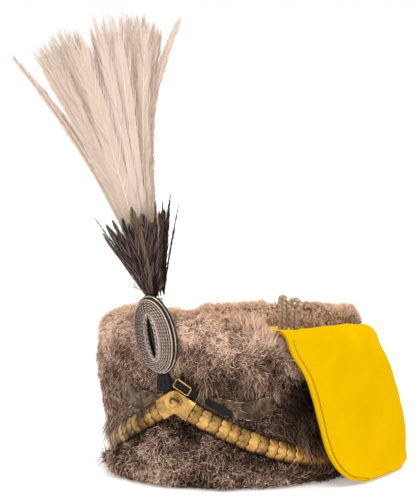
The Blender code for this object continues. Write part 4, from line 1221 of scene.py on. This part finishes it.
# Short dark feathers round the quills: side and forward reach and height of the tip in metres,
# half width in metres and tone, from black at 0 to olive brown at 1
DARK_FEATHERS = (
    (-0.0400, 0.004, 0.0700, 0.0012, 0.30),
    (-0.0355, -0.004, 0.0600, 0.0026, 0.15),
    (-0.0300, 0.010, 0.0570, 0.0034, 0.20),
    (-0.0250, -0.010, 0.0500, 0.0036, 0.30),
    (-0.0215, 0.015, 0.0640, 0.0030, 0.05),
    (-0.0160, -0.014, 0.0560, 0.0036, 0.20),
    (-0.0125, 0.018, 0.0690, 0.0034, 0.10),
    (-0.0085, 0.019, 0.0600, 0.0038, 0.00),
    (-0.0040, -0.017, 0.0640, 0.0036, 0.20),
    (-0.0020, 0.020, 0.0710, 0.0032, 0.10),
    (0.0030, 0.0195, 0.0660, 0.0036, 0.00),
    (0.0060, -0.018, 0.0640, 0.0036, 0.20),
    (0.0085, 0.0200, 0.0780, 0.0042, 1.00),
    (0.0125, -0.015, 0.0660, 0.0036, 0.10),
    (0.0150, 0.0175, 0.0720, 0.0046, 0.05),
    (0.0190, 0.0135, 0.0640, 0.0040, 0.10),
    (0.0210, -0.012, 0.0740, 0.0022, 0.20),
    (0.0235, 0.010, 0.0800, 0.0016, 0.35),
    (0.0265, 0.004, 0.0790, 0.0014, 0.25),
    (0.0285, -0.005, 0.0820, 0.0013, 0.35),
    (0.0360, -0.002, 0.0740, 0.0009, 0.40),
)
# How far a dark feather has reached sideways, by share of its height
DARK_SPINE = ((0.0, 0.18), (0.25, 0.36), (0.5, 0.56), (0.75, 0.78), (1.0, 1.0))
DARK_FOOT = 0.003
# Tufts of down at the foot: hand and height
FLUFF = ((-1, 0.022), (-1, 0.030), (-1, 0.038), (1, 0.014), (1, 0.022), (-1, 0.014), (1, 0.030))


def make_dark_plume():
    plumage = Plumage(37)
    black = np.array([0.024, 0.015, 0.014])
    olive = np.array([0.230, 0.165, 0.095])
    spine = np.array(DARK_SPINE)
    for side, forward, height, half_width, tone in DARK_FEATHERS:
        light = mix(black * plumage.rng.uniform(2.5, 9.0), olive, tone)
        dark = mix(black * 0.22, olive * 0.30, tone)
        steps = np.linspace(0.0, 1.0, 14)
        reach = np.interp(steps, spine[:, 0], spine[:, 1])
        rise = DARK_FOOT + (height - DARK_FOOT) * steps
        path = np.stack([side * reach, -forward * mix(0.30, 1.0, reach), rise], axis=1)
        face = np.array([1.0, side * 14.0 * (1.0 if forward > 0 else -1.0), 0.0])
        plumage.feather(path, face, half_width * 1.25, blended(light, dark, 2.2), 0.00035, 0.00050, 0.00050,
                        0.20, SPIKE_PROFILE, spread=0.40, vane=0.85)
    fluff = blended((0.50, 0.40, 0.28), (0.16, 0.12, 0.08))
    for hand, height in FLUFF:
        foot = np.array([hand * 0.005, -0.006, height * 0.5])
        tip = np.array([hand * 0.0125, -0.008, height])
        path = foot + (tip - foot) * np.linspace(0.0, 1.0, 6)[:, None]
        plumage.feather(path, np.array([0.4, 0.3, 1.0]), 0.0034, fluff, 0.0002, 0.0009, 0.00030, 0.5,
                        SPIKE_PROFILE, spread=0.6)
    shafts = Surface("dark_shaft", (0.05, 0.035, 0.025), Roughness=0.4)
    plumage.build("plume_dark_barbs", feather_material("dark_feather", 0.6, 0.08), shafts.material,
                  "plume_dark")


# Cockade


def cockade_matrix():
    middle = Vector((0.0, -(SHELL_HALF_LENGTH + COCKADE_STAND_OFF), COCKADE_HEIGHT))
    up = Vector((0.0, -sin(COCKADE_LEAN), cos(COCKADE_LEAN)))
    across = Vector((1.0, 0.0, 0.0))
    turn = Matrix((across, up, across.cross(up))).transposed().to_4x4()
    return np.array(Matrix.Translation(middle) @ turn)


def cockade_dome(share):
    return COCKADE_EDGE + COCKADE_DOME * sqrt(max(1.0 - share ** 2.4, 0.0))


# Rows of the cockade from the slit to the rim: cord radius in metres, and whether it is twisted
COCKADE_ROWS = (
    (0.00140, True),
    (0.00045, False),
    (0.00045, False),
    (0.00098, True),
    (0.00098, True),
    (0.00098, True),
    (0.00098, True),
    (0.00098, True),
    (0.00075, False),
)
COCKADE_RIM = 0.0018
COCKADE_BASE = COCKADE_BACK + GAP
COCKADE_ROOM = COCKADE_HALF_WIDTH - COCKADE_RIM - SLIT_HALF_WIDTH
TONGUE_HALF_WIDTH = 0.0055
TONGUE_LENGTH = 0.0134
TONGUE_PLEATS = 3.5


def place_on_cockade(local):
    """Points of the cockade's frame in the cap's frame."""
    matrix = cockade_matrix()
    return local @ matrix[:3, :3].T + matrix[:3, 3]


def cockade_oval(grown, height, turns):
    """An oval round the slit, grown from the slit's edge, at a height on the cockade."""
    return place_on_cockade(np.stack([
        (SLIT_HALF_WIDTH + grown) * np.cos(turns),
        (SLIT_HALF_HEIGHT + grown) * np.sin(turns),
        np.full(len(turns), height),
    ], axis=1))


def make_cockade_cords(silver, shaded_thread):
    scale = COCKADE_ROOM / (sum(radius for radius, _ in COCKADE_ROWS) * 2.0)
    up = cockade_matrix()[:3, 2]
    turns = 2.0 * pi * np.arange(120) / 120
    light = []
    dark = []
    smooth = []
    place = 0.0
    for radius, winds in COCKADE_ROWS:
        radius *= scale
        grown = place + radius
        place += radius * 2.0
        height = COCKADE_BASE + cockade_dome(grown / COCKADE_ROOM) - radius * 0.2
        path = cockade_oval(grown, height, turns)
        if winds:
            # The second strand of each cord takes the darker copy of the silver, painted shade for the
            # grooves of the twist.
            one, other = twisted_cord(path, radius * 0.94, radius * 3.1, up, True)
            light.append(one)
            dark.append(other)
        else:
            path, _ = even_path(path, 0.0016, True)
            smooth.append((tube_rings(path, radius * 1.1, 6, True, up), True))
    cords = link("cockade_twist", tubes_mesh("cockade_twist", light), silver)
    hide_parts("cockade_cord")
    link("cockade_twist_shaded", tubes_mesh("cockade_twist_shaded", dark), shaded_thread)
    link("cockade_wires", tubes_mesh("cockade_wires", smooth), silver)


def make_cockade_pad():
    """Padding under the rows of cord, so that nothing shows between them."""
    rings = []
    around = 2.0 * pi * np.arange(65) / 64
    for step in range(9):
        share = step / 8.0
        grown = mix(-0.0002, COCKADE_ROOM - 0.0004, share)
        height = COCKADE_BASE + cockade_dome(share) - 0.0013
        rings.append(cockade_oval(grown, height, around))
    link("cockade_pad", grid_mesh("cockade_pad", rings), padding_material())


def make_tongue():
    """Gathered dark tongue below the cockade."""
    rows = []
    across = np.linspace(-1.0, 1.0, 29)
    belly = 0.0012 * (1.0 - across ** 2)
    for step in range(15):
        share = step / 14.0
        wide = TONGUE_HALF_WIDTH * float(np.interp(share, (0.0, 0.45, 1.0), (0.85, 1.05, 1.30)))
        y = -COCKADE_HALF_HEIGHT + 0.0015 - (TONGUE_LENGTH + 0.0015) * share
        pleat = 0.00055 * np.sin(across * pi * TONGUE_PLEATS + 0.6) * (1.0 - 0.3 * share)
        lean = float(np.interp(share, (0.0, 0.5, 1.0), (0.0, 0.0006, 0.0018)))
        rows.append(place_on_cockade(np.stack([
            across * wide, np.full(29, y), lean + 0.0008 + pleat + belly,
        ], axis=1)))
    tongue = link("tongue", grid_mesh("tongue", rows), satin_material())
    thick = tongue.modifiers.new("thickness", "SOLIDIFY")
    thick.thickness = 0.0012
    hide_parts("cockade_tongue")


# Chin scales


def chin_line(side):
    steps = 400
    turns = np.linspace(0.0, CHIN_REACH, steps + 1)
    points = np.array([
        wall_point(JOINT_ANGLE + side * turn, SCALE_DEPTH, float(chin_height(turn))) for turn in turns
    ])
    lengths = np.concatenate(([0.0], np.cumsum(np.linalg.norm(np.diff(points, axis=0), axis=1))))
    return turns, points, lengths


def chin_place(side, line, length):
    turns, points, lengths = line
    length = min(max(length, 0.0), lengths[-1] * 0.9999)
    place = np.array([np.interp(length, lengths, points[:, i]) for i in range(3)])
    beyond = np.array([np.interp(length + 0.0005, lengths, points[:, i]) for i in range(3)])
    before = np.array([np.interp(length - 0.0005, lengths, points[:, i]) for i in range(3)])
    ahead = unit(beyond - before)
    turn = float(np.interp(length, lengths, turns))
    normal = np.array(wall_normal(JOINT_ANGLE + side * turn))
    across = unit(np.cross(ahead, normal)) * side
    return place, normal, across


def scale_surface(side, line, start, end, columns=19, rows=6):
    """A domed plate with three lobes on its raised edge, and how much darker each point is, by wear and dirt
    and by painted shade on the dome's sides, its lower side, its end under the next plate and the notches
    between the lobes.
    """
    top = []
    tone_marks = []
    for row in range(rows):
        share = (row / (rows - 1.0)) ** 1.5
        points = []
        for column in range(columns):
            a = 2.0 * column / (columns - 1.0) - 1.0
            lobe = abs(sin(1.5 * pi * (a + 1.0)))
            shift = SCALE_LOBE * lobe
            length = mix(start - shift - 0.0008, end - shift * 0.4, share)
            place, normal, across = chin_place(side, line, length)
            dome = SCALE_ARCH * (1.0 - a * a)
            bulge = 0.00012 * lobe * (1.0 - share) + 0.0005 * (1.0 - share) ** 1.2
            curl = -0.0003 * max(0.0, 1.0 - share * 8.0)
            out = SCALE_PLATE + dome + bulge + curl
            points.append(place + across * (a * SCALE_WIDTH * 0.5) + normal * out)
            # Dirt with painted shade: darker at the dome's sides, more on its lower side, at its end under
            # the next plate and in the notches between the lobes.
            dirt_and_shade = 0.14 * abs(a) ** 3 + 0.08 * max(0.0, -a) + 0.28 * share ** 5
            tone_marks.append(dirt_and_shade + 0.10 * (1.0 - lobe) ** 3 * (1.0 - share) ** 2)
        top.append(points)
    return np.array(top), tone_marks


def make_scales(gilt):
    for side, letter in ((1, "l"), (-1, "r")):
        line = chin_line(side)
        first = END_PLATE_LENGTH + SCALE_LOBE
        pitch = (line[2][-1] - first - BOSS_RADIUS - GAP) / SCALES_PER_SIDE
        points = []
        faces = []
        tone_marks = []
        for number in range(SCALES_PER_SIDE):
            start = first + pitch * number
            surface, grime_and_shade = scale_surface(side, line, start, start + pitch - GAP)
            rows, columns = surface.shape[:2]
            base = len(points)
            points.extend(map(tuple, surface.reshape(-1, 3)))
            # Each scale a little darker or lighter by a set amount, the right half darker.
            scale_darkening = 0.03 - 0.05 * side - 0.06 * sin(number * 2.4)
            tone_marks.extend(value + scale_darkening for value in grime_and_shade)
            for row in range(rows - 1):
                for column in range(columns - 1):
                    corner = base + row * columns + column
                    faces.append((corner, corner + 1, corner + columns + 1, corner + columns))
        mesh = bpy.data.meshes.new("scales_%s" % letter)
        mesh.from_pydata(points, [], faces)
        layer = mesh.attributes.new("tone_marks", "FLOAT", "POINT")
        layer.data.foreach_set("value", np.array(tone_marks, np.float32))
        piece = link("scales_%s" % letter, mesh, gilt)
        thick = piece.modifiers.new("plate", "SOLIDIFY")
        thick.thickness = 0.0006
        thick.offset = -1.0 if side > 0 else 1.0
        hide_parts(*["scale_%s_%02d" % (letter, number + 1) for number in range(SCALES_PER_SIDE)])


# The disc under the hook, from its foot to its middle
JOINT_DISC = (
    # radius, height above the middle of the hook
    (0.0052, -0.0022),
    (0.0052, 0.0002),
    (0.0049, 0.0005),
    (0.0044, 0.0004),
    (0.0041, -0.0002),
    (0.0001, -0.0002),
)


# Bag

# name, out, height, front, rear, front fall, rear fall: the bag's sections from its root to its tip
BAG_ROWS = (
    ("root", -1.05, 0.0, 0.60, 0.62, 0.00, 0.00),
    ("hem", -0.62, 0.0, 0.68, 0.70, 0.02, 0.02),
    ("rise", -0.10, 0.905, 0.80, 0.82, 0.16, 0.15),
    ("brink", 0.12, 0.955, 0.87, 0.88, 0.22, 0.20),
    ("crest", 0.36, 0.978, 0.92, 0.93, 0.25, 0.22),
    ("turn", 0.68, 0.950, 0.98, 0.89, 0.27, 0.22),
    ("brow", 0.86, 0.850, 1.00, 0.84, 0.27, 0.20),
    ("fall", 0.96, 0.720, 0.90, 0.83, 0.23, 0.14),
    ("hang", 1.00, 0.560, 0.82, 0.86, 0.19, 0.09),
    ("middle", 1.02, 0.400, 0.81, 0.92, 0.13, 0.06),
    ("low", 1.06, 0.240, 0.78, 0.95, 0.08, 0.04),
    ("curve", 1.14, 0.110, 0.64, 0.91, 0.05, 0.04),
    ("end", 1.24, 0.045, 0.48, 0.80, 0.03, 0.03),
    ("tip", 1.34, 0.022, 0.30, 0.58, 0.01, 0.02),
)
BAG_REAR_SAG = 0.0065
BAG_SEWN_DEPTH = 0.0017
BAG_SEWN_ROWS = 7.0
BAG_SAG_START = 0.90
BAG_SAG_END = 0.55
BAG_LENGTHWAYS = 110
BAG_ACROSS = 56
LAYER = 0.00125
SEAM_INSET = 0.0045
SEAM_START = 0.40
SEAM_RADIUS = 0.00040


def bag_rows():
    """The sections with lengths in metres, as an array with a smooth curve through them."""
    lying = CROWN_HEIGHT + GAP + CLOTH + GAP + BAG_THICKNESS * 0.5 - 0.0001
    resting = BAG_FLOOR_GAP + BAG_THICKNESS * 0.5
    rows = []
    for _, out, height, front, rear, front_fall, rear_fall in BAG_ROWS:
        rows.append((
            SHELL_HALF_WIDTH + out * BAG_STAND_OFF,
            max(height * CAP_HEIGHT, resting) if height else lying,
            front * BAG_HALF_WIDTH, rear * BAG_HALF_WIDTH,
            front_fall * BAG_HALF_WIDTH, rear_fall * BAG_HALF_WIDTH,
            float(blend(BAG_SAG_END, BAG_SAG_START, height)),
        ))
    rows = np.array(rows)
    padded = np.concatenate([rows[:1] * 2 - rows[1:2], rows, rows[-1:] * 2 - rows[-2:-1]])
    smooth = []
    for place in np.linspace(0.0, len(rows) - 1.0, BAG_LENGTHWAYS):
        k = min(int(place), len(rows) - 2)
        t = place - k
        p0, p1, p2, p3 = padded[k:k + 4]
        smooth.append(0.5 * (2 * p1 + (p2 - p0) * t + (2 * p0 - 5 * p1 + 4 * p2 - p3) * t * t
                             + (3 * p1 - p0 - 3 * p2 + p3) * t ** 3))
    return np.array(smooth)


def bag_surface():
    surface = []
    for x, z, front, rear, front_fall, rear_fall, sags in bag_rows():
        row = []
        for column in range(BAG_ACROSS + 1):
            across = 2.0 * column / BAG_ACROSS - 1.0
            half = front if across < 0.0 else rear
            fall = front_fall if across < 0.0 else rear_fall
            y = across * half
            sag = sags * BAG_REAR_SAG * float(blend(0.0, BAG_HALF_WIDTH * 0.85, y))
            row.append((x - fall * across * across, y, z - sag))
        surface.append(row)
    surface = np.array(surface)
    sewn = 1.0 - blend(0.0, BAG_SEWN_ROWS, np.arange(len(surface)))
    surface[:, :, 2] -= BAG_SEWN_DEPTH * sewn[:, None]
    return surface


def sheet_mesh(name, surface, thickness, seam_depth):
    """A closed cloth of even thickness with a sunk seam line inside its edge."""
    rows, columns = surface.shape[:2]
    ahead = np.gradient(surface, axis=0)
    across = np.gradient(surface, axis=1)
    normal = unit(np.cross(ahead, across))
    distance = np.full((rows, columns), 1.0)
    widths = np.linalg.norm(surface[:, 0] - surface[:, -1], axis=1)
    for column in range(columns):
        from_edge = widths * min(column, columns - 1 - column) / (columns - 1)
        distance[:, column] = from_edge
    lengths = np.cumsum(np.linalg.norm(ahead[:, columns // 2], axis=1))
    distance = np.minimum(distance, (lengths[-1] - lengths)[:, None])
    seam = np.exp(-((distance - SEAM_INSET) / 0.0007) ** 2)
    round_edge = 1.0 - np.exp(-distance / 0.0006)
    half = thickness * 0.5 * (0.35 + 0.65 * round_edge)
    upper = surface + normal * (half - seam_depth * seam)[:, :, None]
    lower = surface - normal * half[:, :, None]
    points = np.concatenate([upper.reshape(-1, 3), lower.reshape(-1, 3)])
    count = rows * columns
    faces = []
    for row in range(rows - 1):
        for column in range(columns - 1):
            a = row * columns + column
            faces.append((a, a + 1, a + columns + 1, a + columns))
            faces.append((count + a, count + a + columns, count + a + columns + 1, count + a + 1))
    rim = [column for column in range(columns)]
    rim += [row * columns + columns - 1 for row in range(1, rows)]
    rim += [(rows - 1) * columns + column for column in range(columns - 2, -1, -1)]
    rim += [row * columns for row in range(rows - 2, 0, -1)]
    for near, far in zip(rim, rim[1:] + rim[:1]):
        faces.append((far, near, count + near, count + far))
    mesh = bpy.data.meshes.new(name)
    mesh.from_pydata([tuple(p) for p in points], [], faces)
    bm = bmesh.new()
    bm.from_mesh(mesh)
    bmesh.ops.recalc_face_normals(bm, faces=bm.faces[:])
    bm.to_mesh(mesh)
    bm.free()
    return mesh


def make_bag(cloth):
    surface = bag_surface()
    flat = surface.reshape(-1, 3)
    ripple = 0.00045 * waves(flat, 0.060, 5) + 0.00020 * waves(flat, 0.022, 6)
    normal = unit(np.cross(np.gradient(surface, axis=0), np.gradient(surface, axis=1)))
    surface = surface + normal * ripple.reshape(surface.shape[:2])[:, :, None]
    outer = surface + normal * (LAYER * 0.5 + 0.0001)
    inner = surface - normal * (LAYER * 0.5 + 0.0001)
    for name, layer in (("bag_outer", outer), ("bag_inner", inner)):
        piece = link(name, sheet_mesh(name, layer, LAYER, 0.00040), cloth)
        if name == "bag_outer":
            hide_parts("bag")

    # Stitched seam inside the edge of the outer layer
    lifted = outer + normal * (LAYER * 0.5)
    rows = len(surface)
    route = []
    for step in range(int(rows * SEAM_START), rows):
        widths = np.linalg.norm(np.diff(lifted[step], axis=0), axis=1)
        lengths = np.concatenate(([0.0], np.cumsum(widths)))
        route.append([np.interp(SEAM_INSET, lengths, lifted[step, :, i]) for i in range(3)])
    seam = Surface("seam_thread", (0.36, 0.185, 0.0), Roughness=0.8, Specular_IOR_Level=0.0)
    path, _ = even_path(route, 0.0015, False)
    tube = (tube_rings(path, SEAM_RADIUS, 5, False, (1.0, 0.0, 0.2)), False)
    link("bag_seam", tubes_mesh("bag_seam", [tube]), seam.material)


def make_crown(cloth):
    """The cloth top inside the rim, drawn in shallow gathers towards its edge."""
    rows = []
    for step in range(30):
        share = step / 29.0
        turns = 2.0 * pi * np.arange(121) / 120
        gathers = 0.0006 * np.sin(turns * 26.0) * share ** 3 + 0.0009 * (1.0 - share ** 2)
        rows.append(np.stack([
            (SHELL_HALF_WIDTH - 0.001) * max(share, 0.01) * np.cos(turns),
            (SHELL_HALF_LENGTH - 0.001) * max(share, 0.01) * np.sin(turns),
            CROWN_HEIGHT + GAP + 0.0011 + gathers * 0.7,
        ], axis=1))
    surface = np.array(rows)
    mesh = grid_mesh("crown_top", surface)
    bm = bmesh.new()
    bm.from_mesh(mesh)
    bmesh.ops.remove_doubles(bm, verts=bm.verts[:], dist=0.00001)
    bmesh.ops.recalc_face_normals(bm, faces=bm.faces[:])
    bm.to_mesh(mesh)
    bm.free()
    piece = link("crown_top", mesh, cloth)
    thick = piece.modifiers.new("cloth", "SOLIDIFY")
    thick.thickness = 0.0012
    thick.offset = 0.0
    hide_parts("crown_cloth")


# Loops


def loop_cord(name, route, silver, shaded_thread):
    """A cord of one bright and one darker strand along a loop's route, the darker strand painted shade for
    the grooves of the twist.
    """
    one, other = twisted_cord(route, LOOP_WIRE * LOOP_SWELL, LOOP_PITCH, (0.0, 1.0, 0.0), False, sides=7)
    piece = link(name + "_cord", tubes_mesh(name + "_cord", [one]), silver)
    link(name + "_shaded_strand", tubes_mesh(name + "_shaded_strand", [other]), shaded_thread)
    return piece


def make_loops(silver, shaded_thread):
    foot = CROWN_HEIGHT + GAP + CLOTH + GAP
    half = LOOP_HALF_WIDTH
    straight = LOOP_HEIGHT - LOOP_WIRE - half
    route = [(LOOP_X - half, LOOP_Y, foot + 0.0005)]
    for step in range(13):
        turn = pi - pi * step / 12
        route.append((LOOP_X + half * cos(turn), LOOP_Y, foot + straight + half * sin(turn)))
    route.append((LOOP_X + half, LOOP_Y, foot + 0.0005))
    piece = loop_cord("loop_upright", route, silver, shaded_thread)
    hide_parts("loop_upright")

    middle_x = LOOP_X + half + LOOP_WIRE * 2.0 + RING_RADIUS + GAP * 2.0
    middle_z = foot + LOOP_HEIGHT * 0.73
    leg = LOOP_WIRE * 1.15
    opening = asin(leg / RING_RADIUS)
    route = [(middle_x - leg, LOOP_Y, foot + 0.0005)]
    for step in range(25):
        turn = mix(-0.5 * pi - opening, -2.5 * pi + opening, step / 24)
        route.append((middle_x + RING_RADIUS * cos(turn), LOOP_Y, middle_z + RING_RADIUS * sin(turn)))
    route.append((middle_x + leg, LOOP_Y, foot + 0.0005))
    piece = loop_cord("loop_round", route, silver, shaded_thread)
    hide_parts("loop_round")


def make_badge_edges():
    """Painted highlights: bright lines along the badge's raised border."""
    points = np.array([v.co for v in nodes["badge_scroll"].data.vertices])
    angle = np.degrees(np.arctan2(points[:, 1] / SHELL_HALF_LENGTH, points[:, 0] / SHELL_HALF_WIDTH))
    order = np.argsort(angle)
    groups = np.split(order, np.nonzero(np.diff(angle[order]) > 1.0)[0] + 1)
    upper = []
    lower = []
    for group in groups:
        here = points[group]
        outward = here[:, 0] ** 2 + here[:, 1] ** 2
        for line, best in ((upper, here[:, 2] * 10.0 + outward), (lower, outward - here[:, 2] * 10.0)):
            line.append(here[np.argmax(best)])
    tubes = []
    for line in (upper, lower):
        path, _ = even_path(line, 0.0015, False)
        tubes.append((tube_rings(path, 0.0004, 5, False, (0.0, 0.0, 1.0)), False))
    link("badge_edges", tubes_mesh("badge_edges", tubes), edge_highlight_material())


def make_joint_disc(gilt):
    """The round plate under the hook where the two halves of the scales meet."""
    corners = [Vector(corner) for corner in nodes["joint_hook"].bound_box]
    middle = np.array(sum(corners, Vector()) / 8.0)
    normal = np.array(wall_normal(JOINT_ANGLE))
    across = np.cross(normal, (0.0, 0.0, 1.0))
    up = np.cross(across, normal)
    rows = []
    for radius, height in JOINT_DISC:
        turns = 2.0 * pi * np.arange(41) / 40
        rows.append(middle + normal * height + radius * (
            np.cos(turns)[:, None] * across + np.sin(turns)[:, None] * up))
    link("joint_disc", grid_mesh("joint_disc", rows), gilt)


def dress_solids(gilt):
    """Finishes for the solids that show as they are."""
    leather = leather_material()
    for name in ("cockade_back", "chin_leather_l", "chin_leather_r", "thin_strap"):
        put_material(name, leather)
    for name in ("end_plate_lower", "end_plate_upper", "boss_l", "boss_r", "buckle_frame"):
        put_material(name, gilt)
    put_material("joint_hook", gilt_material("dark_hook", (0.13, 0.075, 0.035), (0.020, 0.011, 0.006)))
    put_material("cockade_wire", gilt_material("bright_wire", (0.62, 0.54, 0.42), (0.24, 0.19, 0.13)))
    put_material("cockade_slit", velvet_material())
    put_material("badge_scroll", dull_metal_material())
    put_material("plume_stem", quill_material())


def make_all():
    make_camera()
    make_stage()
    silver = silver_material()
    # Darker copies of the silver paint shade on the cords' second strands; the loops' silver is painted
    # darker towards their feet.
    shaded_thread = silver_material("shaded_thread", (0.28, 0.21, 0.17), (0.028, 0.018, 0.013))
    loop_silver = silver_material("loop_silver", (0.74, 0.61, 0.52), axis=2, low=0.112, high=0.132)
    loop_shaded_strand = silver_material("loop_shaded_strand", (0.46, 0.36, 0.30), (0.060, 0.040, 0.030))
    gilt = gilt_material()
    yellow = cloth_material("yellow_wool", (0.63, 0.370, 0.0004), (0.745, 0.444, 0.0006),
                            ((0.1195, 0.008, 0.023), 0.0036, (0.30, 0.22, 0.04)))
    make_fur(fur_material())
    make_white_plume()
    make_dark_plume()
    make_cockade_cords(silver, shaded_thread)
    make_cockade_pad()
    make_tongue()
    make_scales(gilt_material("gilt_scales", grime_and_shade="tone_marks"))
    make_bag(yellow)
    make_crown(yellow)
    make_loops(loop_silver, loop_shaded_strand)
    make_joint_disc(gilt)
    make_badge_edges()
    dress_solids(gilt)


make_all()
bpy.context.view_layer.update()
